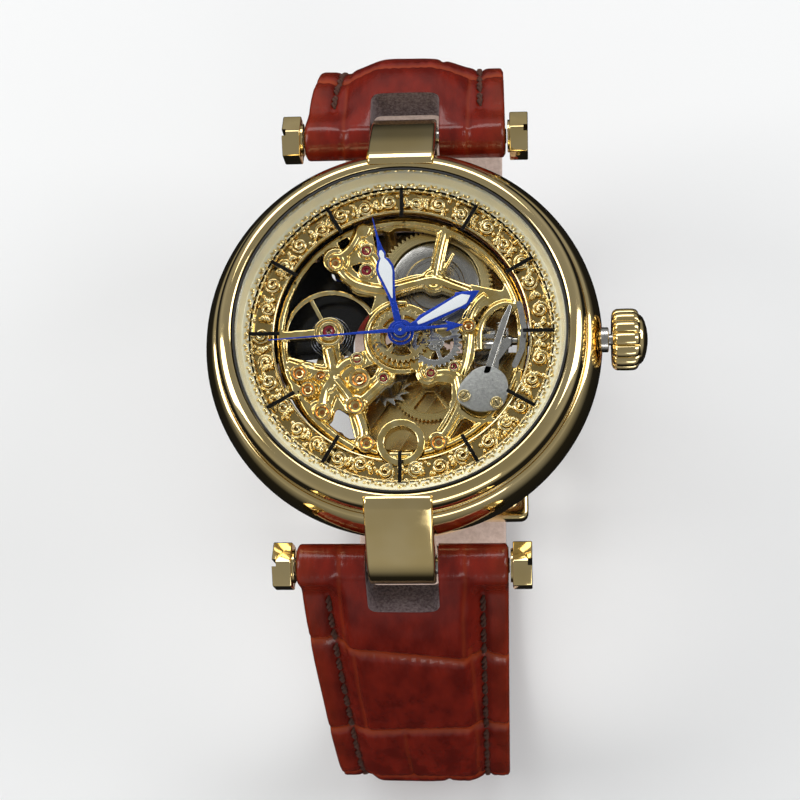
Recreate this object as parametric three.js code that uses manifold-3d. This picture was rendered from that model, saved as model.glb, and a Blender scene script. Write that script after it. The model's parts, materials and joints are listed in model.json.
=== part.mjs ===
// A skeleton wristwatch with a hand-wound movement, a round case on two central lugs and a leather strap.
// Millimetres. +Z is the dial's normal, +Y points to 12 o'clock and +X to the crown at 3 o'clock.
// The origin is the middle of the flat back. The strap hangs below as an unfastened loop.
import * as THREE from "three";
import { mergeVertices } from "three/addons/utils/BufferGeometryUtils.js";
import Module from "manifold-3d";

const wasm = await Module();
wasm.setup();

// ---------- driving dimensions ----------
const TAU = 2 * Math.PI;
const GAP = 0.1; // between fixed pieces that touch on the real watch

const ROUND = 44; // flats on a full turn of the case and its rings

const CASE_R = 19.0;
const CASE_MID_Z = 5.34; // height of the widest line, the crown and the stem's hole
const CASE_BULGE_R = 4.85; // radius of the case's rounded side
const CASE_BORE_R = 15.6;
const CASE_TOP_Z = 8.6;
const BEZEL_TOP_Z = 11.05;
const CRYSTAL_R = 15.35;
const CRYSTAL_Z = 10.3;
const CRYSTAL_TOP_Z = 11.9;

const LUG_WIDTH = 6.3;
const BAR_Y = 21.27;
const BAR_Z = 4.12;
const BAR_R = 0.8;
const BAR_HALF = 9.95;
const BOLT_LENGTH = 2.0;
const BOLT_ACROSS = 4.3;

const PLATE_R = 11.95;
const PLATE_Z = 6.1;
const PLATE_TOP_Z = 7.2;
const BRIDGE_Z = 1.9;
const BRIDGE_T = 0.8;

const CENTRE = [0, 0];
const BARREL = [3.0, 5.6];
const THIRD = [2.45, -3.49];
const ESCAPE = [-1.6, -3.7];
const PALLET = [-3.63, -2.07];
const BALANCE = [-6.93, 0.58];
const MINUTE = [3.15, -0.59];
const CROWN_WHEEL = [7.6, 0];
const CLICK = [-2.75, 8.9];
const SETTING_PIVOT = [8.6, -3.9];

const STRAP_W = 20;
const STRAP_END_W = 18;
const WRAP_R = 2.15; // the strap's roll round the bar
const KEEPER_WALL = 1.2;

const HOUR_ANGLE = 61.6; // degrees clockwise from 12
const MINUTE_ANGLE = -13.8;
const SECONDS_ANGLE = 266.4;

// ---------- finishes ----------
const finish = (color, roughness, metalness, extra = {}) =>
  new THREE.MeshStandardMaterial({ color, roughness, metalness, ...extra });
const GOLD = finish(0xd9bd72, 0.14, 1);
const PALE_GOLD = finish(0xe6d79c, 0.25, 1);
const RICH_GOLD = finish(0xd6a93c, 0.25, 1);
const STEEL = finish(0xa7a8a6, 0.3, 1);
const BLUE = finish(0x1338b8, 0.25, 0.6);
const BLACK = finish(0x141414, 0.5, 0.1);
const RUBY = finish(0xa3122c, 0.1, 0);
const GLASS = finish(0xeef4f6, 0.03, 0, { transparent: true, opacity: 0.15 });
const LEATHER = finish(0x71200f, 0.3, 0);

// ---------- solids ----------
const vec = (x, y) => new THREE.Vector2(x, y);
const radians = (degrees) => (degrees * Math.PI) / 180;
const polar = (r, angle, [x, y] = CENTRE) => [x + r * Math.cos(angle), y + r * Math.sin(angle)];

function toSolid(geometry) {
  const bare = geometry.clone();
  bare.deleteAttribute("normal");
  bare.deleteAttribute("uv");
  const merged = mergeVertices(bare, 1e-4);
  const vertProperties = new Float32Array(merged.attributes.position.array);
  const triVerts = new Uint32Array(merged.index.array);
  return new wasm.Manifold(new wasm.Mesh({ numProp: 3, vertProperties, triVerts }));
}

function toGeometry(solid) {
  const mesh = solid.getMesh();
  const geometry = new THREE.BufferGeometry();
  geometry.setAttribute("position", new THREE.BufferAttribute(mesh.vertProperties, 3));
  geometry.setIndex(new THREE.BufferAttribute(mesh.triVerts, 1));
  return geometry;
}

const join = (...pieces) => toGeometry(pieces.map(toSolid).reduce((a, b) => a.add(b)));
const cut = (piece, ...tools) =>
  toGeometry(tools.map(toSolid).reduce((left, tool) => left.subtract(tool), toSolid(piece)));
const common = (a, b) => toGeometry(toSolid(a).intersect(toSolid(b)));

function mesh(name, geometry, material) {
  const made = new THREE.Mesh(geometry, material);
  made.name = name;
  return made;
}

// A profile of [radius, height] points turned round +Z. A ring's profile closes on itself.
function turned(profile, segments = ROUND) {
  const points = profile.map(([r, z]) => vec(r, z));
  const onAxis = profile[0][0] === 0;
  if (THREE.ShapeUtils.area(points) < 0) points.reverse();
  if (!onAxis) points.push(points[0].clone());
  return new THREE.LatheGeometry(points, segments).rotateX(Math.PI / 2);
}

const ring = (inner, outer, z0, z1, segments) =>
  turned([[inner, z0], [outer, z0], [outer, z1], [inner, z1]], segments);
const disc = (r, z0, z1, segments = 24) => turned([[0, z0], [r, z0], [r, z1], [0, z1]], segments);
const discAt = ([x, y], r, z0, z1, segments) => disc(r, z0, z1, segments).translate(x, y, 0);
const ringAt = ([x, y], inner, outer, z0, z1, segments) =>
  ring(inner, outer, z0, z1, segments).translate(x, y, 0);

// A flat outline, with holes, raised from z0 to z1.
function raised(outline, z0, z1, holes = []) {
  const shape = new THREE.Shape(outline.map(([x, y]) => vec(x, y)));
  for (const hole of holes) shape.holes.push(new THREE.Path(hole.map(([x, y]) => vec(x, y))));
  const geometry = new THREE.ExtrudeGeometry(shape, { depth: z1 - z0, bevelEnabled: false });
  return geometry.translate(0, 0, z0);
}

const circle = (r, count, centre = CENTRE) =>
  Array.from({ length: count }, (_, i) => polar(r, (i * TAU) / count, centre));

// The outline of a wedge between two radii, from one angle to another in degrees.
function wedge(inner, outer, from, to, steps = 6, centre = CENTRE) {
  const at = (i) => radians(from + ((to - from) * i) / steps);
  const outside = Array.from({ length: steps + 1 }, (_, i) => polar(outer, at(i), centre));
  const inside = Array.from({ length: steps + 1 }, (_, i) => polar(inner, at(steps - i), centre));
  return [...outside, ...inside];
}

// A bar with round ends between two points.
function arm([x0, y0], [x1, y1], width, z0, z1, steps = 3) {
  const heading = Math.atan2(y1 - y0, x1 - x0);
  const half = (centre, start) =>
    Array.from({ length: steps + 1 }, (_, i) => polar(width / 2, start + (i * Math.PI) / steps, centre));
  const outline = [...half([x1, y1], heading - Math.PI / 2), ...half([x0, y0], heading + Math.PI / 2)];
  return raised(outline, z0, z1);
}

// Bars laid end to end along a path.
function band(path, width, z0, z1) {
  const links = path.slice(1).map((point, i) => arm(path[i], point, width, z0, z1));
  return join(...links);
}

// ---------- wheels ----------
// Teeth are plain points, with a tooth's tip at the angle phase. They leave a fifth of a tooth of play.
const toothed = (pitchR, teeth, depth, phase = 0) =>
  Array.from({ length: teeth * 2 }, (_, i) =>
    polar(pitchR + (i % 2 ? -depth * 0.6 : depth * 0.4), phase + (i * Math.PI) / teeth));

const sawToothed = (tipR, teeth, depth, phase = 0) =>
  Array.from({ length: teeth * 2 }, (_, i) =>
    polar(i % 2 ? tipR - depth : tipR, phase + ((i + (i % 2 ? 0.55 : 0)) * Math.PI) / teeth));

// The phase that puts a wheel's gap over its driver's tooth on the line between their centres.
function phaseInMesh(driver, follower) {
  const towards = Math.atan2(follower.at[1] - driver.at[1], follower.at[0] - driver.at[0]);
  const lead = ((driver.phase - towards) * driver.teeth) / follower.teeth;
  return towards + Math.PI - lead + Math.PI / follower.teeth;
}

// The windows between the spokes of a wheel.
function spokeWindows(count, hubR, rimR, spokeWidth) {
  const windows = [];
  for (let i = 0; i < count; i++) {
    const mid = ((i + 0.5) * 360) / count;
    const half = 180 / count;
    const outer = half - (spokeWidth / rimR) * 30;
    const inner = half - (spokeWidth / hubR) * 30;
    const rimPoint = (_, k) => polar(rimR, radians(mid - outer + (outer * k * 2) / 3));
    const rim = Array.from({ length: 4 }, rimPoint);
    const hub = [polar(hubR, radians(mid + inner)), polar(hubR, radians(mid - inner))];
    windows.push([...rim, ...hub]);
  }
  return windows;
}

function trainWheel({ at, pitchR, teeth, depth, phase = 0, z, spokes, hubR, rim, arbor, pinion, bore }) {
  const windows = spokeWindows(spokes, hubR, pitchR - rim, 0.45);
  let wheel = raised(toothed(pitchR, teeth, depth, phase), ...z, windows);
  if (arbor) wheel = join(wheel, disc(arbor.r, ...arbor.z, 10));
  if (pinion) {
    const leaves = toothed(pinion.r, pinion.teeth, pinion.depth, pinion.phase);
    wheel = join(wheel, raised(leaves, ...pinion.z));
  }
  if (bore) wheel = cut(wheel, disc(bore, -1, 12, 10));
  return wheel.translate(at[0], at[1], 0);
}

// ---------- case ----------
function bulge(from, to, steps) {
  const centreR = CASE_R - CASE_BULGE_R;
  return Array.from({ length: steps + 1 }, (_, i) => {
    const angle = radians(from + ((to - from) * i) / steps);
    return [centreR + CASE_BULGE_R * Math.cos(angle), CASE_MID_Z + CASE_BULGE_R * Math.sin(angle)];
  });
}

const alongX = (geometry) => geometry.rotateY(Math.PI / 2);

function caseParts() {
  const side = bulge(-50, 44, 6);
  const band = turned([
    [CASE_BORE_R, 1.3], [16.9, 1.3], ...side, [17.35, CASE_TOP_Z], [CASE_BORE_R, CASE_TOP_Z],
  ]);
  const tubeHole = alongX(disc(1.3, 14, 20, 16)).translate(0, 0, CASE_MID_Z);
  const bezel = turned([
    [15.7, CASE_TOP_Z + GAP], [17.3, CASE_TOP_Z + GAP], [17.32, 9.5], [17.15, 10.2],
    [16.8, 10.75], [16.35, BEZEL_TOP_Z], [15.7, BEZEL_TOP_Z],
  ]);
  const crystal = turned([
    [0, CRYSTAL_Z], [CRYSTAL_R, CRYSTAL_Z], [CRYSTAL_R, 11.0], [14.9, 11.25], [8, 11.78], [0, CRYSTAL_TOP_Z],
  ]);
  const gasket = ring(CRYSTAL_R + 0.04, 15.66, CRYSTAL_Z, 11.03);
  const tube = alongX(ring(0.75, 1.2, 15.3, 19.45, 16)).translate(0, 0, CASE_MID_Z);
  return [
    mesh("case_band", cut(band, tubeHole), GOLD),
    mesh("bezel", bezel, GOLD),
    mesh("crystal", crystal, GLASS),
    mesh("crystal_gasket", gasket, BLACK),
    mesh("crown_tube", tube, STEEL),
  ];
}

function backParts() {
  const cover = turned([
    [12.3, 0], [16.1, 0], [16.8, 0.55], [16.8, 1.2], [15.2, 1.2], [15.2, 1.75],
    [12.9, 1.75], [12.9, 0.45], [12.3, 0.45],
  ]);
  const glass = turned([[0, 0], [12.2, 0], [12.2, 0.5], [12.8, 0.5], [12.8, 1.15], [0, 1.15]]);
  const seal = ring(15.28, 15.54, 1.32, 1.75);
  return [
    mesh("case_back", cover, GOLD),
    mesh("back_crystal", glass, GLASS),
    mesh("case_back_gasket", seal, BLACK),
  ];
}

// A central lug, drawn in its own side view from the crystal to the bar, then turned across the case.
function lug(name, sign) {
  const outline = [
    [15.75, 11.15], [16.3, 11.4], [17.2, 11.15], [21.0, 7.75], [21.9, 6.9], [22.75, 5.6],
    [23.05, 4.2], [22.8, 2.9], [21.9, 2.0], [20.6, 1.85], [19.15, 2.6], [19.1, 5.3], [18.95, 6.8],
    [18.3, 8.1], [17.55, 9.05], [17.45, 10.0], [17.0, 10.85], [16.4, 11.15],
  ];
  const body = raised(outline, -LUG_WIDTH / 2, LUG_WIDTH / 2);
  body.applyMatrix4(new THREE.Matrix4().set(0, 0, 1, 0, 1, 0, 0, 0, 0, 1, 0, 0, 0, 0, 0, 1));
  const hole = alongX(disc(BAR_R + 0.06, -5, 5, 16)).translate(0, BAR_Y, BAR_Z);
  const made = cut(body, hole);
  return mesh(name, sign > 0 ? made : made.rotateZ(Math.PI), GOLD);
}

function boltAt(name, side, end) {
  const hex = disc(BOLT_ACROSS / 2 / Math.cos(Math.PI / 6), 0.35, BOLT_LENGTH, 6).rotateZ(Math.PI / 6);
  const collar = disc(1.5, 0, 0.4, 18);
  const slot = new THREE.BoxGeometry(8, 0.7, 0.8).translate(0, 0, BOLT_LENGTH);
  const bolt = alongX(cut(join(hex, collar), slot));
  if (side < 0) bolt.rotateZ(Math.PI);
  return mesh(name, bolt.translate(side * (BAR_HALF + GAP), end * BAR_Y, BAR_Z), GOLD);
}

function barParts() {
  const parts = [];
  for (const [where, end] of [["upper", 1], ["lower", -1]]) {
    parts.push(lug(`${where}_lug`, end));
    const bar = alongX(disc(BAR_R, -BAR_HALF, BAR_HALF, 14)).translate(0, end * BAR_Y, BAR_Z);
    parts.push(mesh(`${where}_bar`, bar, STEEL));
    parts.push(boltAt(`${where}_left_bolt`, -1, end));
    parts.push(boltAt(`${where}_right_bolt`, 1, end));
  }
  return parts;
}

// ---------- dial side ----------
const SIX_RING = [0, -10.3]; // the open ring boss at 6 o'clock
const SIX_RING_R = 2.3;
const SIX_RING_WAY = discAt(SIX_RING, SIX_RING_R + 0.12, 5, 9, 20);

function markerRing() {
  const slope = turned([
    [14.35, 8.75], [15.55, 8.75], [15.55, 10.2], [15.3, 10.2], [14.5, 9.15], [14.35, 9.15],
  ]);
  const batons = Array.from({ length: 12 }, (_, i) =>
    new THREE.BoxGeometry(3.1, 0.4, 0.18).translate(12.95, 0, 9.03).rotateZ((i * TAU) / 12));
  return mesh("hour_marker_ring", join(slope, ...batons), PALE_GOLD);
}

function engravedRing() {
  const border = turned([
    [12.05, 7.3], [14.25, 7.3], [14.25, 8.5], [13.9, 8.75], [12.5, 8.6], [12.05, 8.2],
  ], 40);
  return mesh("engraved_ring", cut(border, SIX_RING_WAY), RICH_GOLD);
}

const PILLARS = [
  [-6.38, 7.69], [-3.32, -10.56], [3.37, -10.25], [9.6, -6.0], [10.1, 4.6], [-10.0, -5.3], [-1.4, 11.1],
];

// The dark ring that holds the movement, with a shelf behind the balance from 9 to 11 o'clock.
function movementRing() {
  const body = ring(12.2, 15.3, 1.95, 7.15, 40);
  const shelf = raised(wedge(5.0, 12.4, 112, 186, 8), 2.85, 3.15);
  const stemWay = alongX(disc(1.0, 11, 16, 12)).translate(0, 0, CASE_MID_Z);
  const shelfWays = [discAt(PILLARS[0], 0.8, 2, 4, 10), discAt(BALANCE, 0.4, 2, 4, 10)];
  return mesh("movement_ring", cut(join(body, shelf), stemWay, SIX_RING_WAY, ...shelfWays), BLACK);
}

// The open-worked main plate: a rim, arms between the bearings, bosses and pillars.
function mainPlate() {
  const z = [PLATE_Z, PLATE_TOP_Z];
  const rim = ring(10.9, PLATE_R, ...z, 40);
  const crescent = raised(wedge(9.2, 11.4, 118, 176, 8), z[0] - 1, z[1] + 1);
  const arms = [
    band([[-6.38, 7.69], [-4.2, 5.2], [-1.6, 4.6], [1.2, 5.5], BARREL, [6.4, 4.3]], 1.5, ...z),
    arm(BARREL, [4.1, 11.2], 1.3, ...z),
    band([[-6.38, 7.69], [-3.4, 8.6], [-1.6, 4.6]], 1.9, ...z),
    arm([-3.9, 11.2], [-3.4, 8.6], 1.7, ...z),
    arm([-6.38, 7.69], [-6.9, 9.0], 1.7, ...z),
    arm([6.4, 4.3], [10.9, 3.2], 1.8, ...z),
    band([[-2.4, 1.9], [-1.6, 4.6]], 1.6, ...z),
    band([BALANCE, [-6.4, -3.6], [-7.67, -7.17], [-8.9, -7.2]], 1.7, ...z),
    band([[-6.4, -3.6], PALLET, [-2.6, -1.8]], 1.6, ...z),
    band([[-6.4, -3.6], [-4.39, -6.54], ESCAPE, [-1.2, -2.6]], 1.5, ...z),
    band([[-4.39, -6.54], [-3.32, -10.56], [-3.0, -11.2]], 1.6, ...z),
    band([[2.0, -2.2], THIRD, [5.4, -3.9], [5.4, -6.9], [3.37, -10.25], [3.4, -11.0]], 1.5, ...z),
    band([[5.4, -6.9], [9.2, -7.1]], 2.2, ...z),
    band([[5.4, -3.9], [6.3, -1.9], [6.2, 1.9], [7.8, 3.9]], 1.2, ...z),
    arm([-11.2, -2.4], [-6.4, -3.6], 1.5, ...z),
    arm([-11.2, 0.3], BALANCE, 0.9, ...z),
  ];
  const bosses = [
    ring(1.6, 3.4, ...z, 24),
    ringAt(SIX_RING, 1.55, SIX_RING_R, z[0], 7.9, 20),
    discAt(BARREL, 1.3, ...z, 14),
    discAt(BALANCE, 1.45, ...z, 16),
    discAt(THIRD, 1.2, ...z, 14),
    discAt(ESCAPE, 1.0, ...z, 14),
  ];
  const screws = [
    [-6.38, 7.69], [-4.39, -6.54], [-7.67, -7.17], [-3.32, -10.56], [3.37, -10.25], [-3.8, 10.6],
  ]
    .map((at) => discAt(at, 0.7, z[0], 7.55, 8));
  const pillars = PILLARS.map((at) => discAt(at, 0.65, BRIDGE_Z + BRIDGE_T + GAP, z[1], 8));
  const bearings = [
    discAt(BARREL, 0.7, 4, 9, 12), discAt(BALANCE, 0.9, 4, 9, 14), discAt(THIRD, 0.62, 4, 9, 12),
    discAt(ESCAPE, 0.3, 4, 9, 8),
  ];
  const trimmed = common(join(...arms), disc(PLATE_R - 0.05, z[0] - 1, z[1] + 1, 40));
  const plate = join(cut(rim, crescent), trimmed, ...bosses);
  const stemWay = alongX(disc(1.5, 8.6, 12.4, 16)).translate(0, 0, CASE_MID_Z);
  const cleared = cut(plate, disc(1.6, 4, 9, 24), stemWay, ...bearings);
  return mesh("main_plate", join(cleared, ...screws, ...pillars), RICH_GOLD);
}

function settingParts() {
  const corners = [
    [5.1, -6.5], [5.4, -4.9], [6.9, -3.3], [8.3, -3.0], [9.8, -3.9], [10.1, -5.6], [9.4, -7.3], [7.0, -7.6],
  ];
  const cover = join(
    raised(corners, 7.75, 8.15),
    arm([7.9, -4.0], [10.3, 2.7], 0.5, 7.75, 8.15),
    discAt([5.9, -6.0], 0.55, 8.1, 8.35, 14),
    discAt([8.9, -6.7], 0.55, 8.1, 8.35, 14),
    discAt([7.4, -5.2], 0.7, PLATE_TOP_Z + GAP, 7.8, 12),
  );
  const lever = band([SETTING_PIVOT, [8.7, -2.3], [9.9, -0.7]], 0.9, 7.3, 7.6);
  const clutch = band([[10.6, -3.1], [11.3, -1.5], [11.5, 0.6], [11.1, 2.9]], 0.55, 7.75, 8.05);
  return [
    mesh("setting_bridge", cover, STEEL),
    mesh("setting_lever", cut(lever, discAt([7.4, -5.2], 0.9, 7, 8)), STEEL),
    mesh("clutch_lever", clutch, STEEL),
  ];
}

function jewels() {
  const balance = join(ringAt(BALANCE, 0.55, 0.85, 6.5, 7.6, 14), ringAt(BALANCE, 0.2, 0.6, 6.8, 7.3, 14));
  const third = ringAt(THIRD, 0.18, 0.58, 6.4, 7.3, 12);
  return [mesh("balance_jewel", balance, RUBY), mesh("third_wheel_jewel", third, RUBY)];
}

// ---------- bridges on the back ----------
function bridges() {
  const z = [BRIDGE_Z, BRIDGE_Z + BRIDGE_T];
  const arc = (from, to, steps) => Array.from({ length: steps + 1 }, (_, i) =>
    polar(11.6, radians(from + ((to - from) * i) / steps)));
  const barrelSide = raised([...arc(6, 128, 14), [-4.6, 5.6], [-1.2, 1.3], [4.6, 1.3], [4.6, 0.7]], ...z);
  const trainOutline = [
    ...arc(-112, -2, 12), [4.8, -0.4], [-1.0, 1.0], [-2.9, -0.2], [-4.9, -1.6], [-4.9, -4.2],
  ];
  const trainSide = raised(trainOutline, ...z);
  const cock = band([[-8.2, -6.5], [-7.9, -3.2], BALANCE], 2.4, ...z);
  const palletCock = join(
    arm([-5.3, -5.0], PALLET, 0.9, 4.3, 4.65),
    discAt([-5.3, -5.0], 0.45, BRIDGE_Z + 0.05, 4.4, 12),
  );
  const crownWheelWay = discAt(CROWN_WHEEL, 2.15, 0, 4, 24);
  const holes = {
    barrel: [discAt(BARREL, 0.95, 0, 4, 16), crownWheelWay],
    train: [discAt(CENTRE, 0.2, 0, 4, 12), discAt(THIRD, 0.2, 0, 4, 12), discAt(ESCAPE, 0.2, 0, 4, 12),
      discAt(PALLET, 0.2, 0, 4, 12), crownWheelWay, discAt([-5.3, -5.0], 0.6, 0, 4, 12)],
  };
  return [
    mesh("barrel_bridge", cut(barrelSide, ...holes.barrel), RICH_GOLD),
    mesh("train_bridge", cut(trainSide, ...holes.train), RICH_GOLD),
    mesh("balance_cock", cut(cock, discAt(BALANCE, 0.25, 0, 4, 12)), RICH_GOLD),
    mesh("pallet_cock", cut(palletCock, discAt(PALLET, 0.2, 4, 5, 12)), RICH_GOLD),
  ];
}

// ---------- gearing ----------
// Each pair's pitch radii share the distance between its centres in the ratio of its teeth.
const distance = (a, b) => Math.hypot(a[0] - b[0], a[1] - b[1]);
const share = (from, to, own, other) => (distance(from, to) * own) / (own + other);

const TEETH = {
  barrel: 72, centrePinion: 12, centre: 64, thirdPinion: 8, third: 60, fourthPinion: 8, fourth: 60,
  escapePinion: 6, escape: 15, cannon: 10, minute: 30, minutePinion: 8, hour: 32, ratchet: 48,
  crownWheel: 22, winding: 12,
};
const gear = (at, to, own, other) => ({ at, teeth: own, pitchR: share(at, to, own, other), phase: 0 });
const teethOf = (wheel, depth) => toothed(wheel.pitchR, wheel.teeth, depth, wheel.phase);
const centrePinion = gear(CENTRE, BARREL, TEETH.centrePinion, TEETH.barrel);
const barrelTeeth = gear(BARREL, CENTRE, TEETH.barrel, TEETH.centrePinion);
const centreTeeth = gear(CENTRE, THIRD, TEETH.centre, TEETH.thirdPinion);
const thirdPinion = gear(THIRD, CENTRE, TEETH.thirdPinion, TEETH.centre);
const fourthPinion = gear(CENTRE, THIRD, TEETH.fourthPinion, TEETH.third);
const thirdTeeth = gear(THIRD, CENTRE, TEETH.third, TEETH.fourthPinion);
const fourthTeeth = gear(CENTRE, ESCAPE, TEETH.fourth, TEETH.escapePinion);
const escapePinion = gear(ESCAPE, CENTRE, TEETH.escapePinion, TEETH.fourth);
const cannonTeeth = gear(CENTRE, MINUTE, TEETH.cannon, TEETH.minute);
const minuteTeeth = gear(MINUTE, CENTRE, TEETH.minute, TEETH.cannon);
const minutePinion = gear(MINUTE, CENTRE, TEETH.minutePinion, TEETH.hour);
const hourTeeth = gear(CENTRE, MINUTE, TEETH.hour, TEETH.minutePinion);
for (const [driver, follower] of [
  [centrePinion, barrelTeeth], [centreTeeth, thirdPinion], [fourthPinion, thirdTeeth],
  [fourthTeeth, escapePinion], [cannonTeeth, minuteTeeth], [minutePinion, hourTeeth],
]) follower.phase = phaseInMesh(driver, follower);

// ---------- power and winding ----------
function spiral(innerR, outerR, turns, thickness, z0, z1, steps = 18) {
  const count = Math.round(turns * steps);
  const radiusAt = (i) => innerR + ((outerR - innerR) * i) / count;
  const at = (i, side) => polar(radiusAt(i) + (side * thickness) / 2, (i * TAU) / steps);
  const outside = Array.from({ length: count + 1 }, (_, i) => at(i, 1));
  const inside = Array.from({ length: count + 1 }, (_, i) => at(count - i, -1));
  return raised([...outside, ...inside], z0, z1);
}

const RATCHET_TIP_R = share(BARREL, CROWN_WHEEL, TEETH.ratchet, TEETH.crownWheel) + 0.02;
const CROWN_WHEEL_TIP_R = share(CROWN_WHEEL, BARREL, TEETH.crownWheel, TEETH.ratchet) + 0.02;

function barrelParts() {
  const [x, y] = BARREL;
  const drum = join(
    turned([[0.85, 4.0], [4.8, 4.0], [4.8, 5.3], [4.5, 5.3], [4.5, 4.25], [0.85, 4.25]], 24),
    raised(teethOf(barrelTeeth, 0.3), 5.25, 5.75, [circle(4.4, 24)]),
  );
  const cover = ring(0.85, 4.25, 5.35, 5.6, 24);
  const spring = spiral(1.15, 4.2, 4, 0.16, 4.35, 5.2, 14);
  const arbor = disc(0.65, 1.3, 6.9, 12);
  const ratchet = join(raised(sawToothed(RATCHET_TIP_R, TEETH.ratchet, 0.28), 1.3, 1.7), arbor);
  const crownWheel = join(
    raised(sawToothed(CROWN_WHEEL_TIP_R, TEETH.crownWheel, 0.25, Math.PI / TEETH.crownWheel), 1.3, 1.7),
    ring(1.5, 1.95, 1.6, 4.0, 16),
  );
  const clickLever = band([CLICK, [-2.05, 7.6]], 0.8, 1.3, 1.7);
  return [
    mesh("barrel_drum", drum.translate(x, y, 0), GOLD),
    mesh("barrel_cover", cover.translate(x, y, 0), STEEL),
    mesh("mainspring", spring.translate(x, y, 0), STEEL),
    mesh("ratchet_wheel", ratchet.translate(x, y, 0), STEEL),
    mesh("crown_wheel", crownWheel.translate(CROWN_WHEEL[0], CROWN_WHEEL[1], 0), STEEL),
    mesh("click", clickLever, STEEL),
  ];
}

function crownParts() {
  const flutes = 13;
  const corner = (_, i) => polar(i % 4 < 2 ? 2.95 : 2.62, ((i + 0.5) * TAU) / flutes / 4);
  const outline = Array.from({ length: flutes * 4 }, corner);
  const grip = raised(outline, 19.75, 22.3);
  const dome = turned([[0, 22.2], [2.5, 22.2], [2.35, 22.6], [1.6, 22.95], [0, 23.15]], 24);
  const well = ring(0.72, 1.45, 19, 21.2, 14);
  const head = cut(join(grip, dome), well, disc(0.64, 19, 21.0, 12));
  const stem = disc(0.55, 6.9, 20.9, 12);
  const seal = ring(0.59, 0.71, 17.2, 18.2, 16);
  const sliding = cut(raised(toothed(0.9, TEETH.winding, 0.22), 7.3, 8.7), disc(0.62, 7, 9, 14));
  const winding = cut(raised(toothed(1.15, TEETH.winding, 0.3), 9.0, 10.0), disc(0.62, 8, 11, 14));
  const onStem = (name, geometry, material) =>
    mesh(name, alongX(geometry).translate(0, 0, CASE_MID_Z), material);
  return [
    onStem("crown", head, GOLD),
    onStem("winding_stem", stem, STEEL),
    onStem("crown_gasket", seal, BLACK),
    onStem("sliding_pinion", sliding, STEEL),
    onStem("winding_pinion", winding, STEEL),
  ];
}

// ---------- going train, motion work and escapement ----------
function trainParts() {
  const centre = trainWheel({
    ...centreTeeth, depth: 0.2, z: [3.5, 3.7], spokes: 4, hubR: 0.9, rim: 0.6,
    arbor: { r: 0.36, z: [3.5, 8.2] }, bore: 0.22,
    pinion: { ...centrePinion, r: centrePinion.pitchR, depth: 0.3, z: [5.2, 5.8] },
  });
  const third = trainWheel({
    ...thirdTeeth, depth: 0.2, z: [3.2, 3.35], spokes: 5, hubR: 0.9, rim: 0.6,
    arbor: { r: 0.13, z: [2.0, 7.2] },
    pinion: { ...thirdPinion, r: thirdPinion.pitchR, depth: 0.18, z: [3.3, 3.9] },
  });
  const fourth = trainWheel({
    ...fourthTeeth, depth: 0.2, z: [2.85, 3.05], spokes: 4, hubR: 0.8, rim: 0.5,
    arbor: { r: 0.15, z: [2.0, 9.95] },
    pinion: { ...fourthPinion, r: fourthPinion.pitchR, depth: 0.18, z: [3.0, 3.42] },
  });
  const escape = join(
    raised(teethOf(escapePinion, 0.16), 2.8, 3.12),
    raised(sawToothed(2.25, TEETH.escape, 0.6), 3.9, 4.05, spokeWindows(4, 0.5, 1.3, 0.3)),
    disc(0.13, 2.0, 5.9, 10),
    disc(0.3, 3.7, 4.2, 10),
  ).translate(ESCAPE[0], ESCAPE[1], 0);
  const minute = trainWheel({
    ...minuteTeeth, depth: 0.3, z: [7.35, 7.55], spokes: 4, hubR: 0.85, rim: 0.6,
    pinion: { ...minutePinion, r: minutePinion.pitchR, depth: 0.25, z: [7.5, 7.95] },
  });
  const hourWheel = join(
    raised(teethOf(hourTeeth, 0.28), 7.7, 7.9, spokeWindows(5, 1.15, 2.05, 0.4)),
    disc(0.92, 7.7, 9.02, 20),
  );
  const cannon = cut(
    join(raised(teethOf(cannonTeeth, 0.26), 7.35, 7.6), disc(0.64, 7.35, 9.42, 16)),
    disc(0.4, 7, 10, 12),
  );
  return [
    mesh("centre_wheel", centre, GOLD),
    mesh("third_wheel", third, RICH_GOLD),
    mesh("fourth_wheel", fourth, GOLD),
    mesh("escape_wheel", escape, STEEL),
    mesh("minute_wheel", minute, STEEL),
    mesh("hour_wheel", cut(hourWheel, disc(0.7, 7, 10, 16)), RICH_GOLD),
    mesh("cannon_pinion", cannon, STEEL),
  ];
}

function escapementParts() {
  const toBalance = Math.atan2(BALANCE[1] - PALLET[1], BALANCE[0] - PALLET[0]);
  const reach = (along, across) => {
    const [x, y] = polar(along, toBalance, PALLET);
    return polar(across, toBalance + Math.PI / 2, [x, y]);
  };
  const fork = join(
    arm(PALLET, reach(2.9, 0), 0.4, 3.9, 4.1),
    arm(reach(2.8, 0), reach(3.35, 0.3), 0.22, 3.9, 4.1),
    arm(reach(2.8, 0), reach(3.35, -0.3), 0.22, 3.9, 4.1),
    arm(reach(0.1, -1.35), reach(0.1, 1.35), 0.4, 3.9, 4.1),
    discAt(PALLET, 0.14, 2.0, 4.6, 10),
  );
  const wheel = join(
    ring(4.25, 4.75, 4.9, 5.35, 36),
    new THREE.BoxGeometry(8.8, 0.45, 0.25).translate(0, 0, 5.1).rotateZ(radians(118)),
    disc(0.75, 4.9, 5.25, 16),
    disc(0.15, 2.0, 7.2, 10),
    disc(0.6, 4.45, 4.6, 16),
  );
  const coil = cut(spiral(0.6, 2.1, 4, 0.09, 5.55, 5.7, 12), disc(0.3, 5, 6, 8));
  return [
    mesh("pallet_fork", cut(fork, discAt(ESCAPE, 2.4, 3.8, 4.3, 24)), STEEL),
    mesh("balance_wheel", wheel.translate(BALANCE[0], BALANCE[1], 0), GOLD),
    mesh("hairspring", coil.translate(BALANCE[0], BALANCE[1], 0), STEEL),
  ];
}

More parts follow.
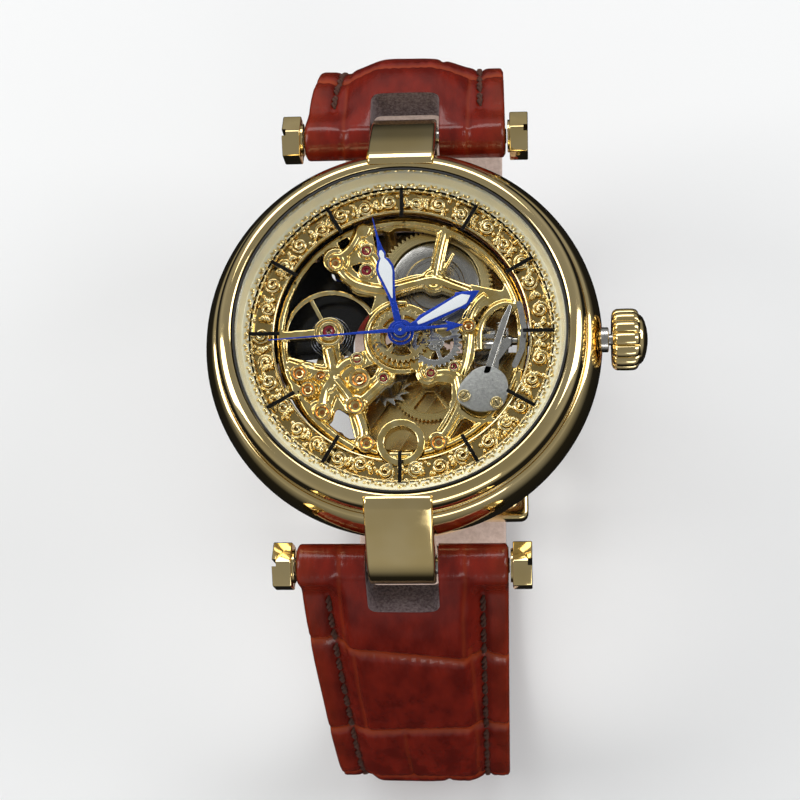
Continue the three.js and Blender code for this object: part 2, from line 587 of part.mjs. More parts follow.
// ---------- hands ----------
// A hand's outline is mirrored about its length, given as [half width, distance from the centre].
function hand(name, rightSide, bossR, boreR, z, degrees) {
  const leftSide = [...rightSide].reverse().map(([half, along]) => [-half, along]);
  const blade = raised([...rightSide, ...leftSide], z, z + 0.14);
  const boss = disc(bossR, z, z + 0.2, 24);
  const made = cut(join(blade, boss), disc(boreR, z - 1, z + 0.6, 20));
  return mesh(name, made.rotateZ(-radians(degrees)), BLUE);
}

function hands() {
  const hour = [[0.35, 0.5], [0.35, 1.6], [0.62, 2.1], [0.72, 6.2], [0.95, 6.35], [0.03, 8.4]];
  const minute = [
    [0.33, 0.5], [0.3, 3.2], [0.85, 6.2], [0.75, 7.0], [0.3, 7.5], [0.42, 7.9], [0.25, 8.3], [0.03, 11.6],
  ];
  const seconds = [[0.14, -4.9], [0.14, -3.0], [0.22, -1.2], [0.2, 0.6], [0.06, 12.4]];
  const sweep = hand("seconds_hand", seconds, 0.6, 0.17, 9.72, SECONDS_ANGLE);
  const anchor = raised([[0, -5.9], [0.55, -4.2], [0.12, -4.4], [-0.12, -4.4], [-0.55, -4.2]], 9.72, 9.86);
  sweep.geometry = join(sweep.geometry, anchor.rotateZ(-radians(SECONDS_ANGLE)));
  return [
    hand("hour_hand", hour, 1.25, 0.95, 8.82, HOUR_ANGLE),
    hand("minute_hand", minute, 0.95, 0.67, 9.24, MINUTE_ANGLE),
    sweep,
  ];
}

// ---------- strap ----------
// Middle lines of the two straps in the YZ plane, from the bar round the wrist.
const UPPER_LINE = [
  [21.27, 4.12], [25.6, 3.0], [30.6, -2.0], [33.6, -10], [33.3, -20], [28.5, -30], [18.5, -36.3],
  [6, -38.6], [0, -38.9],
];
const LOWER_LINE = [
  [-21.27, 4.12], [-24.6, 0], [-28.4, -7], [-32.4, -16.5], [-36.2, -26], [-38.4, -33.5], [-37.0, -40.2],
  [-31.2, -44.9], [-22, -46.6], [-8, -46.9], [6, -46.4], [18, -43.8], [28.5, -37],
];
const strapCurve = (line) => new THREE.CatmullRomCurve3(line.map(([y, z]) => new THREE.Vector3(0, y, z)));

// A strap leaf: a crowned section carried along its middle line, narrowing and thinning to the end.
function leaf(line, outward, thickness, pointed) {
  const curve = strapCurve(line);
  const steps = 22;
  const position = [];
  const index = [];
  for (let i = 0; i <= steps; i++) {
    const t = i / steps;
    const at = curve.getPointAt(t);
    const along = curve.getTangentAt(t);
    const up = new THREE.Vector3(0, -along.z, along.y).multiplyScalar(outward);
    const taper = Math.min(1, t * 1.6);
    const tip = pointed && t > 0.9 ? 1 - 0.55 * ((t - 0.9) / 0.1) ** 2 : 1;
    const half = ((STRAP_W - (STRAP_W - STRAP_END_W) * taper) / 2) * tip - 0.15;
    const h = (thickness[0] + (thickness[1] - thickness[0]) * Math.min(1, t * 3)) / 2;
    const section = [
      [-half, -h], [half, -h], [half, h * 0.3], [half * 0.82, h], [-half * 0.82, h], [-half, h * 0.3],
    ];
    for (const [x, n] of section) position.push(x, at.y + up.y * n, at.z + up.z * n);
  }
  const sides = 6;
  for (let i = 0; i < steps; i++)
    for (let k = 0; k < sides; k++) {
      const a = i * sides + k;
      const b = i * sides + ((k + 1) % sides);
      index.push(a, b, b + sides, a, b + sides, a + sides);
    }
  const last = steps * sides;
  for (let k = 1; k < sides - 1; k++) index.push(0, k + 1, k, last, last + k, last + k + 1);
  const geometry = new THREE.BufferGeometry();
  geometry.setAttribute("position", new THREE.BufferAttribute(new Float32Array(position), 3));
  geometry.setIndex(index);
  if (toSolidVolume(geometry) < 0) geometry.setIndex([...geometry.index.array].reverse());
  return geometry;
}

const toSolidVolume = (geometry) => toSolid(geometry).volume();

// Places a tool made at the origin at a point of a strap, with its Y along the strap and its Z outwards.
function onStrap(geometry, line, t, outward) {
  const curve = strapCurve(line);
  const at = curve.getPointAt(t);
  const along = curve.getTangentAt(t);
  const turn = Math.atan2(along.z, along.y) + (outward < 0 ? Math.PI : 0);
  return geometry.rotateX(turn).translate(0, at.y, at.z);
}

const box = (x, y, z) => new THREE.BoxGeometry(x, y, z);

function strapEnd(body, end, line, outward) {
  const rollHalf = STRAP_W / 2 - 0.15;
  const roll = alongX(disc(WRAP_R, -rollHalf, rollHalf, 20)).translate(0, end * BAR_Y, BAR_Z);
  const bore = alongX(disc(BAR_R + 0.25, -12, 12, 16)).translate(0, end * BAR_Y, BAR_Z);
  const notch = box(LUG_WIDTH + 0.5, 10.4, 9);
  return cut(join(body, roll), bore, onStrap(notch, line, 0, outward));
}

function strapParts() {
  const upper = leaf(UPPER_LINE, 1, [4.0, 2.5], false);
  const lower = leaf(LOWER_LINE, -1, [4.0, 2.2], true);
  const tongueSlot = onStrap(box(3.0, 6.4, 8), UPPER_LINE, 1, 1);
  const springBarBore = alongX(disc(0.85, -12, 12, 14)).translate(0, -0.15, -38.9);
  const endRoll = alongX(disc(1.6, -8.9, 8.9, 16)).translate(0, -0.15, -38.9);
  const upperBody = cut(join(strapEnd(upper, 1, UPPER_LINE, 1), endRoll), tongueSlot, springBarBore);
  const hole = (_, i) => onStrap(disc(0.85, -4, 4, 10), LOWER_LINE, 0.64 + i * 0.042, -1);
  const holes = Array.from({ length: 7 }, hole);
  const lowerBody = cut(strapEnd(lower, -1, LOWER_LINE, -1), ...holes);
  return [mesh("upper_strap", upperBody, LEATHER), mesh("lower_strap", lowerBody, LEATHER)];
}

// A keeper loop: it wraps the short strap and leaves room outside it for the long strap's tail.
function keeper(name, y, width, clearance) {
  const inner = [STRAP_END_W + clearance * 2, 2.5 + clearance * 2 + 2.6];
  const outer = [inner[0] + KEEPER_WALL * 2, inner[1] + KEEPER_WALL * 2];
  const loop = cut(box(outer[0], width, outer[1]), box(inner[0], width + 2, inner[1]));
  const curve = strapCurve(UPPER_LINE);
  const t = Array.from({ length: 400 }, (_, i) => i / 400).find((s) => s > 0.5 && curve.getPointAt(s).y < y);
  return mesh(name, onStrap(loop.translate(0, 0, 1.3), UPPER_LINE, t, 1), LEATHER);
}

function buckleParts() {
  const pivot = [-0.15, -38.9];
  const bar = alongX(disc(0.7, -9.75, 9.75, 12)).translate(0, pivot[0], pivot[1]);
  const frame = join(
    box(1.5, 9.6, 2.4).translate(-10.85, -3.4, 0),
    box(1.5, 9.6, 2.4).translate(10.85, -3.4, 0),
    box(23.2, 1.6, 2.4).translate(0, -8.5, 0),
  );
  const sockets = alongX(disc(0.8, -12, 12, 12));
  const tongue = join(
    box(1.5, 9.2, 0.75).translate(0, -4.3, -1.68),
    cut(alongX(disc(1.5, -0.75, 0.75, 14)), alongX(disc(0.85, -2, 2, 12))),
  );
  return [
    mesh("buckle_bar", bar, STEEL),
    mesh("buckle_frame", cut(frame, sockets).translate(0, pivot[0], pivot[1]), GOLD),
    mesh("buckle_tongue", tongue.translate(0, pivot[0], pivot[1]), GOLD),
  ];
}

// ---------- assembly ----------
const watch = new THREE.Group();
watch.add(
  ...caseParts(), ...backParts(), ...barParts(),
  markerRing(), engravedRing(), movementRing(), mainPlate(), ...settingParts(), ...jewels(), ...bridges(),
  ...barrelParts(), ...crownParts(), ...trainParts(), ...escapementParts(), ...hands(),
  ...strapParts(), keeper("fixed_keeper", 7.5, 3.4, 0.25), keeper("free_keeper", 15.5, 4.2, 0.45),
  ...buckleParts(),
);

export default watch;
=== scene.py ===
# %% [markdown]
# # A skeleton wristwatch
# The watch has a round polished case on two central lugs, an open-worked hand-wound movement and an
# embossed leather strap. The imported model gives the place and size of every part, so this file only makes
# the fine surfaces and finishes around it. Shapes are worked out in millimetres and kept in metres.

# %% Load the frame
import math
import random

import bmesh
import bpy
import numpy as np
from mathutils import Matrix, Vector
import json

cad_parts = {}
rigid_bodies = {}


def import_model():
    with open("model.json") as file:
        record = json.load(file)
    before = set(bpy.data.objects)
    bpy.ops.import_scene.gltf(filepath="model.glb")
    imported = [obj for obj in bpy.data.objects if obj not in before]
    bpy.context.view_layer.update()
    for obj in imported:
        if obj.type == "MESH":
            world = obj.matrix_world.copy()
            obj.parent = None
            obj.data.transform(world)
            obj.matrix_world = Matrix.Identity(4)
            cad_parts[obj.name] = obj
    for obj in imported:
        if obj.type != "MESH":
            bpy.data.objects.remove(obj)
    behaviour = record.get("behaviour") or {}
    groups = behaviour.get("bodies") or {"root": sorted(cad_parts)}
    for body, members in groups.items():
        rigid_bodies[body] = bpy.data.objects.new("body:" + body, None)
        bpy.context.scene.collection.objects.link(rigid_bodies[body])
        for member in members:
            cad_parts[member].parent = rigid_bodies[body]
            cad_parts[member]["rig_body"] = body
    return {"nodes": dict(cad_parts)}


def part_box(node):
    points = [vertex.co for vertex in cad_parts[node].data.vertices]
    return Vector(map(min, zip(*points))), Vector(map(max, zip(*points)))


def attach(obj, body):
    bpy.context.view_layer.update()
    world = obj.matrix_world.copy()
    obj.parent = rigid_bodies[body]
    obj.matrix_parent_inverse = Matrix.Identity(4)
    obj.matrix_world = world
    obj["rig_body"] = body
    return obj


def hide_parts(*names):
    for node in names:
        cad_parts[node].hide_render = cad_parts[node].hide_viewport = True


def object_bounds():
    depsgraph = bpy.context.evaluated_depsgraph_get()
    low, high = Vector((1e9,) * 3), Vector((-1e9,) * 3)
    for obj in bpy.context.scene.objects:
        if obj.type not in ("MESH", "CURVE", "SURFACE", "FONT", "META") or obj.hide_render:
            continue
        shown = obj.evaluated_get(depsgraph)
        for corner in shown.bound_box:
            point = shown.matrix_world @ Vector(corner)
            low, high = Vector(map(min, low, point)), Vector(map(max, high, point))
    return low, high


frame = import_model()
CAD_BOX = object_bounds()
MM = 0.001
TAU = 2 * math.pi
scene = bpy.context.scene


# %% Places in millimetres
def box(*nodes):
    """The lowest and highest corners round some parts."""
    corners = [[np.array(c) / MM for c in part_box(node)] for node in nodes]
    return np.min([c[0] for c in corners], axis=0), np.max([c[1] for c in corners], axis=0)


def middle(node):
    low, high = box(node)
    return (low + high) / 2


BARREL = middle("barrel_drum")[:2]
BALANCE = middle("balance_jewel")[:2]
THIRD = middle("third_wheel_jewel")[:2]
ESCAPE = middle("escape_wheel")[:2]
MINUTE = middle("minute_wheel")[:2]
CASE_R = box("case_band")[1][0]
CROWN_Z = middle("crown")[2]
BAR = middle("upper_bar")
print("case radius", round(CASE_R, 2), "bar at", BAR.round(2))

# %% [markdown]
# ## Tools of the bench
# Almost every piece of a watch is turned on a lathe, cut from a plate or drawn as wire. Three helpers do the
# same here. A turned piece spins a profile, a plate raises an outline with holes and rounded edges, and a
# wire carries a round section along a path. Blender's curves make plates and wires with true edge
# rounding, which is what catches the light on polished metal.


# %% Outlines
def polar(r, angle, centre=(0, 0)):
    return (centre[0] + r * math.cos(angle), centre[1] + r * math.sin(angle))


def circle(r, count=48, centre=(0, 0)):
    return [polar(r, i * TAU / count, centre) for i in range(count)]


def arc(r, start, end, count, centre=(0, 0)):
    """Points on a circle from one angle to another, in degrees."""
    return [polar(r, math.radians(start + (end - start) * i / count), centre) for i in range(count + 1)]


def sector(inner, outer, start, end, count=24, centre=(0, 0)):
    return arc(outer, start, end, count, centre) + arc(inner, end, start, count, centre)


def rounded(points, radius, steps=5, closed=True):
    """The outline with its corners rounded. Each corner keeps to less than half of its sides."""
    made = []
    for i, point in enumerate(points):
        if not closed and i in (0, len(points) - 1):
            made.append(tuple(point))
            continue
        here = Vector(point)
        before = Vector(points[i - 1]) - here
        after = Vector(points[(i + 1) % len(points)]) - here
        reach = min(radius, before.length * 0.48, after.length * 0.48)
        a, b = here + before.normalized() * reach, here + after.normalized() * reach
        for k in range(steps + 1):
            t = k / steps
            made.append(tuple(a * (1 - t) ** 2 + here * 2 * t * (1 - t) + b * t ** 2))
    return made


def flowing(points, count=12, closed=False):
    """A smooth line through some points."""
    points = [Vector(p) for p in points]
    ends = points if closed else [points[0] * 2 - points[1], *points, points[-1] * 2 - points[-2]]
    made = []
    spans = len(points) if closed else len(points) - 1
    for i in range(spans):
        p = [ends[(i + k - (1 if closed else 0)) % len(ends)] for k in range(4)]
        for k in range(count):
            t = k / count
            bend = 2 * p[0] - 5 * p[1] + 4 * p[2] - p[3]
            twist = 3 * p[1] - p[0] - 3 * p[2] + p[3]
            made.append(tuple(0.5 * (2 * p[1] + (p[2] - p[0]) * t + bend * t ** 2 + twist * t ** 3)))
    return made if closed else made + [tuple(points[-1])]


# %% From outline to mesh
def mesh_of(verts, faces, name="work"):
    mesh = bpy.data.meshes.new(name)
    mesh.from_pydata([tuple(v) for v in verts], [], faces)
    return cleaned(mesh)


def cleaned(mesh, distance=1e-4):
    bm = bmesh.new()
    bm.from_mesh(mesh)
    bmesh.ops.remove_doubles(bm, verts=bm.verts, dist=distance)
    bmesh.ops.dissolve_degenerate(bm, edges=bm.edges, dist=distance / 10)
    bmesh.ops.recalc_face_normals(bm, faces=bm.faces)
    bm.to_mesh(mesh)
    bm.free()
    return mesh


def evaluated(data, *modifiers):
    """The mesh that a curve or a mesh gives once its modifiers have run."""
    obj = bpy.data.objects.new("work", data)
    scene.collection.objects.link(obj)
    for kind, settings in modifiers:
        modifier = obj.modifiers.new(kind.title(), kind)
        for key, value in settings.items():
            setattr(modifier, key, value)
    graph = bpy.context.evaluated_depsgraph_get()
    made = bpy.data.meshes.new_from_object(obj.evaluated_get(graph))
    bpy.data.objects.remove(obj)
    return made


def turned(profile, steps=144, centre=(0, 0)):
    """A closed profile of (radius, height) points turned round the Z axis."""
    count = len(profile)
    verts = [(*polar(r, i * TAU / steps, centre), z) for i in range(steps) for r, z in profile]
    faces = []
    for i in range(steps):
        here, there = i * count, (i + 1) % steps * count
        for k in range(count):
            n = (k + 1) % count
            if profile[k][0] > 1e-6 or profile[n][0] > 1e-6:
                faces.append((here + k, there + k, there + n, here + n))
    return mesh_of(verts, faces)


def rod(radius, low, high, steps, centre=(0, 0)):
    return turned([(0, low), (radius, low), (radius, high), (0, high)], steps, centre)


def pipe(inner, outer, low, high, soft=0.07, steps=48, centre=(0, 0), rounds=5):
    """A ring of rectangular section with softened corners."""
    section = [(inner, low), (outer, low), (outer, high), (inner, high)]
    return turned(rounded(section, soft, rounds), steps, centre)


def plate(outline, low, high, holes=(), edge=0.05, rounds=2):
    """A flat outline, with holes, raised from low to high with rounded edges."""
    curve = bpy.data.curves.new("outline", "CURVE")
    curve.dimensions = "2D"
    curve.fill_mode = "BOTH"
    curve.extrude = (high - low) / 2 - edge
    curve.bevel_depth = edge
    curve.bevel_resolution = rounds
    curve.offset = -edge
    for loop in (outline, *holes):
        spline = curve.splines.new("POLY")
        spline.points.add(len(loop) - 1)
        for point, (x, y) in zip(spline.points, loop):
            point.co = (x, y, 0, 1)
        spline.use_cyclic_u = True
    mesh = evaluated(curve)
    mesh.transform(Matrix.Translation((0, 0, (low + high) / 2)))
    return cleaned(mesh, 1e-3)


def slab(half_x, half_y, low, high, edge):
    """A rectangular plate round the origin."""
    return plate([(-half_x, -half_y), (half_x, -half_y), (half_x, half_y), (-half_x, half_y)], low, high,
                 edge=edge)


def wire(path, radius, closed=False, rounds=3, taper=None):
    """A round wire along a path, with a radius factor per point if it tapers."""
    curve = bpy.data.curves.new("wire", "CURVE")
    curve.dimensions = "3D"
    curve.bevel_depth = radius
    curve.bevel_resolution = rounds
    curve.use_fill_caps = True
    spline = curve.splines.new("POLY")
    spline.points.add(len(path) - 1)
    for i, (point, place) in enumerate(zip(spline.points, path)):
        point.co = (*place, 1)
        point.radius = taper(i / (len(path) - 1)) if taper else 1
    spline.use_cyclic_u = closed
    return evaluated(curve)


def moved(mesh, matrix):
    mesh.transform(matrix)
    if matrix.determinant() < 0:
        mesh.flip_normals()
    return mesh


def shifted(mesh, x, y, z=0):
    return moved(mesh, Matrix.Translation((x, y, z)))


def together(*meshes):
    """Several meshes as one. Their faces keep their material numbers."""
    bm = bmesh.new()
    for mesh in meshes:
        bm.from_mesh(mesh)
    made = bpy.data.meshes.new("work")
    bm.to_mesh(made)
    bm.free()
    return made


def carved(mesh, *tools, operation="DIFFERENCE"):
    for tool in tools:
        cutter = bpy.data.objects.new("cutter", tool)
        scene.collection.objects.link(cutter)
        mesh = evaluated(mesh, ("BOOLEAN", {"operation": operation, "object": cutter, "solver": "EXACT"}))
        bpy.data.objects.remove(cutter)
    return mesh


def bead(radius, at, flat=1.0):
    """A small domed bead."""
    half_circle = arc(radius, -90, 90, 6)
    return shifted(turned([(max(r, 0), z * flat) for r, z in half_circle], 12), *at)


LIE_ALONG_X = Matrix.Rotation(math.pi / 2, 4, "Y")


def keep(name, mesh, finish, slot, *nodes, body=None, sharp=32):
    """A worked mesh becomes a piece: metres, shading, finish, its body and the parts it stands for."""
    mesh.transform(Matrix.Scale(MM, 4))
    mesh.shade_smooth()
    mesh.set_sharp_from_angle(angle=math.radians(sharp))
    mesh.name = name
    numbers = np.zeros(len(mesh.polygons), np.int32)
    mesh.polygons.foreach_get("material_index", numbers)
    mesh.materials.clear()
    finishes = finish if isinstance(finish, list) else [finish]
    for material in finishes:
        mesh.materials.append(material)
    mesh.polygons.foreach_set("material_index", np.minimum(numbers, len(finishes) - 1))
    piece = bpy.data.objects.new(name, mesh)
    scene.collection.objects.link(piece)
    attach(piece, body or frame["nodes"][nodes[0]]["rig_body"])
    if nodes:
        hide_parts(*nodes)
    print(f"{name}: {len(mesh.polygons)} faces")
    return piece


def smooth_edges(node, finish, width):
    """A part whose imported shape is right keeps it, with its finish and a fine rounding of its edges."""
    part = frame["nodes"][node]
    for material_slot in part.material_slots:
        material_slot.material = finish
    bevel = part.modifiers.new("fine edges", "BEVEL")
    bevel.width = width * MM
    bevel.segments = 2
    bevel.limit_method = "ANGLE"
    bevel.angle_limit = math.radians(35)
    return part


# %% [markdown]
# ## Shader maths
# A finish is a small sum of patterns: a base tint, a wear or grain pattern, a roughness and a bump. Writing
# those sums as Python expressions keeps them readable, so a socket is wrapped in a class that adds its Math
# nodes when it is added, multiplied or compared. Everything that isn't a sum comes from one method that takes
# the node's type, its settings and its inputs.


# %% A socket that can be added and multiplied
class Signal:
    def __init__(self, finish, socket):
        self.finish = finish
        self.socket = socket

    def maths(self, operation, *values):
        sockets = dict(enumerate(values))
        return self.finish.node("ShaderNodeMath", {"operation": operation}, sockets)

    def __add__(self, other):
        return self.maths("ADD", self, other)

    def __sub__(self, other):
        return self.maths("SUBTRACT", self, other)

    def __rsub__(self, other):
        return self.maths("SUBTRACT", other, self)

    def __mul__(self, other):
        return self.maths("MULTIPLY", self, other)

    def __pow__(self, other):
        return self.maths("POWER", self, other)

    __radd__ = __add__
    __rmul__ = __mul__

    def between(self, low, high):
        """0 below low, 1 above high and a smooth step in between."""
        ends = {"Value": self, "From Min": low, "From Max": high}
        return self.finish.node("ShaderNodeMapRange", {"interpolation_type": "SMOOTHSTEP"}, ends)


class Finish:
    """A material, or the world, whose nodes come from one method."""

    def __init__(self, name, library=bpy.data.materials):
        self.material = library.new(name)
        self.material.use_nodes = True
        self.tree = self.material.node_tree
        self.tree.nodes.clear()

    def node(self, kind, settings=None, sockets=None, output=0):
        made = self.tree.nodes.new(kind)
        for key, value in (settings or {}).items():
            if key == "stops":
                while len(made.color_ramp.elements) < len(value):
                    made.color_ramp.elements.new(0.5)
                for element, (place, colour) in zip(made.color_ramp.elements, value):
                    element.position, element.color = place, (*colour, 1)
            else:
                setattr(made, key, value)
        for key, value in (sockets or {}).items():
            if isinstance(value, Signal):
                self.tree.links.new(value.socket, made.inputs[key])
            elif isinstance(value, tuple) and made.inputs[key].type == "RGBA":
                made.inputs[key].default_value = (*value, 1)
            else:
                made.inputs[key].default_value = value
        return Signal(self, made.outputs[output]) if made.outputs else None

    def place(self):
        """The surface point in millimetres."""
        here = self.node("ShaderNodeTexCoord", output="Object")
        return self.node("ShaderNodeVectorMath", {"operation": "SCALE"}, {0: here, "Scale": 1 / MM})

    def stretched(self, vector, x, y, z):
        return self.node("ShaderNodeVectorMath", {"operation": "MULTIPLY"}, {0: vector, 1: (x, y, z)})

    def noise(self, vector, scale, detail=3.0, roughness=0.5):
        sockets = {"Vector": vector, "Scale": scale, "Detail": detail, "Roughness": roughness}
        return self.node("ShaderNodeTexNoise", {}, sockets)

    def mix(self, share, a, b):
        """A colour between a and b."""
        return self.node("ShaderNodeMix", {"data_type": "RGBA"}, {"Factor": share, 6: a, 7: b}, output=2)

    def bump(self, height, distance, strength=1.0):
        sockets = {"Height": height, "Distance": distance * MM, "Strength": strength}
        return self.node("ShaderNodeBump", {}, sockets)

    def surface(self, **sockets):
        """The finished surface. A socket is named in lower case, with _ for its spaces."""
        named = {}
        for key, value in sockets.items():
            named[key.replace("_", " ").title().replace("Ior", "IOR")] = value
        shader = self.node("ShaderNodeBsdfPrincipled", {}, named)
        self.node("ShaderNodeOutputMaterial", {}, {"Surface": shader})
        return self.material


# %% [markdown]
# ## Metals
# Plated gold is a mirror with a warm tint, so its look is in how it carries reflections: a slow ripple from
# polishing, faint hairlines and a tint that varies slowly from place to place. Cast and gilded movement parts
# ripple at a finer size and hold a deeper yellow, and low in their recesses they are painted darker as painted
# shade. Brushed steel is drawn along its lines, and blasted steel scatters light with a fine pebble grain.


# %% Gold finishes
def gold(name, light, deep, roughness, ripple, size, painted_shade_heights=None):
    """Plated gold. Below two given heights a casting's tint is painted darker, as painted shade in its
    recesses.
    """
    finish = Finish(name)
    place = finish.place()
    slow = finish.noise(place, 1 / size, 2.0)
    fine = finish.noise(place, 6.0 / size, 4.0)
    tint = finish.mix(slow.between(0.3, 0.7), light, deep)
    # Painted shade: below the given heights the tint turns dark brown, as if shade filled the recesses.
    if painted_shade_heights:
        height = finish.node("ShaderNodeSeparateXYZ", {}, {0: place}, output="Z")
        tint = finish.mix(height.between(*painted_shade_heights), (0.46, 0.31, 0.09), tint)
    wear = fine.between(0.45, 0.8) * 0.06 + roughness
    return finish.surface(
        base_color=tint, metallic=1.0, roughness=wear, normal=finish.bump(slow + fine * 0.15, ripple)
    )


CASE_GOLD = gold("case_gold", (0.87, 0.70, 0.37), (0.78, 0.60, 0.27), 0.07, 0.010, 6.0)
# Cast gold and border gold turn dark brown below their two heights: painted shade in the recesses of the plate
# and the border.
CAST_GOLD = gold("cast_gold", (0.93, 0.76, 0.38), (0.80, 0.58, 0.20), 0.11, 0.025, 1.1, (5.6, 6.9))
BORDER_GOLD = gold("border_gold", (1.0, 0.87, 0.52), (0.94, 0.72, 0.32), 0.11, 0.02, 0.9, (7.95, 8.26))
COPPER_GOLD = gold("copper_gold", (0.85, 0.42, 0.16), (0.60, 0.22, 0.06), 0.14, 0.02, 0.5)
FINE_GOLD = gold("fine_gold", (0.95, 0.80, 0.45), (0.84, 0.63, 0.26), 0.12, 0.03, 0.7)


# %% Turned brass and steel
def brushed(name, light, dark, roughness, centre, metallic=1.0, fineness=9.0):
    """Fine rings about a centre, as a lathe or a sunburst brush leaves them."""
    finish = Finish(name)
    place = finish.place()
    local = finish.node("ShaderNodeVectorMath", {"operation": "SUBTRACT"}, {0: place, 1: (*centre, 0)})
    flat = finish.stretched(local, 1, 1, 0)
    radius = finish.node("ShaderNodeVectorMath", {"operation": "LENGTH"}, {0: flat}, output="Value")
    rings = finish.noise(finish.node("ShaderNodeCombineXYZ", {}, {"X": radius}), fineness, 3.0, 0.7)
    grain = finish.noise(place, 3.0, 3.0)
    tint = finish.mix(rings * 0.7 + grain * 0.3, dark, light)
    rough = rings * 0.2 + roughness
    return finish.surface(
        base_color=tint, metallic=metallic, roughness=rough, normal=finish.bump(rings, 0.01)
    )


def plain_metal(name, light, dark, roughness, size, ripple, metallic=1.0, gloss=0.5):
    finish = Finish(name)
    place = finish.place()
    grain = finish.noise(place, 1 / size, 4.0, 0.6)
    return finish.surface(
        base_color=finish.mix(grain, dark, light), metallic=metallic,
        roughness=grain * 0.2 + roughness, normal=finish.bump(grain, ripple), specular_ior_level=gloss,
    )


BRASS = brushed("wheel_brass", (0.92, 0.78, 0.42), (0.62, 0.46, 0.18), 0.18, BARREL)
TRAIN_BRASS = brushed("train_brass", (0.95, 0.78, 0.36), (0.72, 0.50, 0.16), 0.16, THIRD)
DRUM_STEEL = brushed("drum_steel", (0.66, 0.64, 0.60), (0.20, 0.19, 0.18), 0.16, BARREL, fineness=4.0)
STEEL = plain_metal("polished_steel", (0.75, 0.74, 0.72), (0.50, 0.49, 0.47), 0.12, 0.5, 0.01)
BLASTED_STEEL = plain_metal("blasted_steel", (0.56, 0.56, 0.54), (0.22, 0.225, 0.22), 0.34, 0.3, 0.05, 0.9)
PALE_GOLD = plain_metal("pale_gold", (0.99, 0.95, 0.74), (0.95, 0.89, 0.65), 0.25, 2.0, 0.01, 0.3)
BLUED_STEEL = plain_metal("blued_steel", (0.015, 0.075, 0.62), (0.010, 0.040, 0.42), 0.16, 0.9, 0.006, 0.45)
SPRING_STEEL = plain_metal("spring_steel", (0.30, 0.31, 0.34), (0.12, 0.13, 0.16), 0.18, 0.9, 0.005)
# Black for the movement spacer, and for the shelf of painted shade that is joined to it.
BLACK_SPACER_AND_SHADE = plain_metal("black_spacer", (0.012, 0.012, 0.013), (0.004, 0.004, 0.005), 0.10, 1.5, 0.01, 0.0)
BATON_BLACK = plain_metal("baton_black", (0.008, 0.007, 0.006), (0.003, 0.003, 0.003), 0.25, 0.4, 0.01, 0.0,
                          0.12)
RUBBER = plain_metal("gasket_rubber", (0.018, 0.018, 0.018), (0.008, 0.008, 0.008), 0.5, 0.2, 0.02, 0.0)
LUME = plain_metal("lume_white", (0.90, 0.93, 0.96), (0.80, 0.84, 0.90), 0.45, 0.15, 0.01, 0.0)


# %% Ruby and watch glass
def ruby():
    finish = Finish("ruby")
    place = finish.place()
    cloud = finish.noise(place, 1.2, 2.0)
    return finish.surface(
        base_color=finish.mix(cloud, (0.09, 0.002, 0.006), (0.36, 0.010, 0.025)),
                          roughness=0.08 + cloud * 0.04,
        coat_weight=1.0, coat_roughness=0.03,
    )


def watch_glass():
    """Clear glass: straight through, apart from the share that its surface mirrors at a glancing view."""
    finish = Finish("watch_glass")
    smear = finish.noise(finish.place(), 0.12, 2.0)
    edge_on = finish.node("ShaderNodeLayerWeight", {}, {"Blend": 0.12}, output="Fresnel")
    haze = smear * 0.03 + 0.01
    mirror = finish.node("ShaderNodeBsdfAnisotropic", {}, {"Color": (1, 1, 1), "Roughness": haze})
    clear = finish.node("ShaderNodeBsdfTransparent", {}, {"Color": (0.985, 0.99, 0.99)})
    both = finish.node("ShaderNodeMixShader", {}, {0: edge_on * 0.55, 1: clear, 2: mirror})
    finish.node("ShaderNodeOutputMaterial", {}, {"Surface": both})
    return finish.material


RUBY = ruby()
GLASS = watch_glass()
print(len(bpy.data.materials), "finishes")

# %% [markdown]
# ## The case
# The middle of the case is one big rounded ring, turned and polished. The bezel sits on it with a fine dark
# line between the two, and the domed glass is held in a black gasket. All are turned pieces, and the
# roundings at their corners are as important as the shapes, since a mirror shows each corner as a line.

# %% Case middle, bezel and glass
BULGE_R = 4.85
BULGE = [(CASE_R - BULGE_R + x, CROWN_Z + y) for x, y in arc(BULGE_R, -50, 42, 22)]
band_profile = rounded([(15.6, 1.3), (16.9, 1.3)], 0.1, closed=False) + BULGE + rounded(
    [(17.5, 8.62), (17.38, 8.45), (17.2, 8.6), (15.6, 8.6)], 0.08, 3, closed=False)
ON_STEM = Matrix.Translation((0, 0, CROWN_Z)) @ LIE_ALONG_X
crown_way = moved(rod(1.3, 14.6, 20, 32), ON_STEM)
case_band = carved(turned(band_profile, 192), crown_way)
keep("case_middle", case_band, CASE_GOLD, "case_gold", "case_band", sharp=40)

bezel_profile = rounded([(15.7, 8.72), (17.28, 8.72), (17.36, 9.2), (17.30, 9.9), (16.95, 10.65),
                         (16.45, 11.0),
                         (15.95, 11.04), (15.7, 10.9)], 0.3, 6)
keep("bezel_ring", turned(bezel_profile, 192), CASE_GOLD, "case_gold", "bezel", sharp=50)

dome = [(0, 10.3), (15.25, 10.3), (15.34, 10.4), (15.34, 10.95), (15.15, 11.12)]
dome += [(r, 11.2 + 0.69 * (1 - (r / 15.1) ** 2)) for r in np.linspace(14.95, 0, 16)]
keep("domed_crystal", turned(dome, 160), GLASS, "watch_glass", "crystal")
seal = rounded([(15.42, 10.3), (15.62, 10.3), (15.62, 10.9), (15.42, 10.92)], 0.06)
keep("glass_gasket", turned(seal, 160), RUBBER, "gasket_rubber", "crystal_gasket")

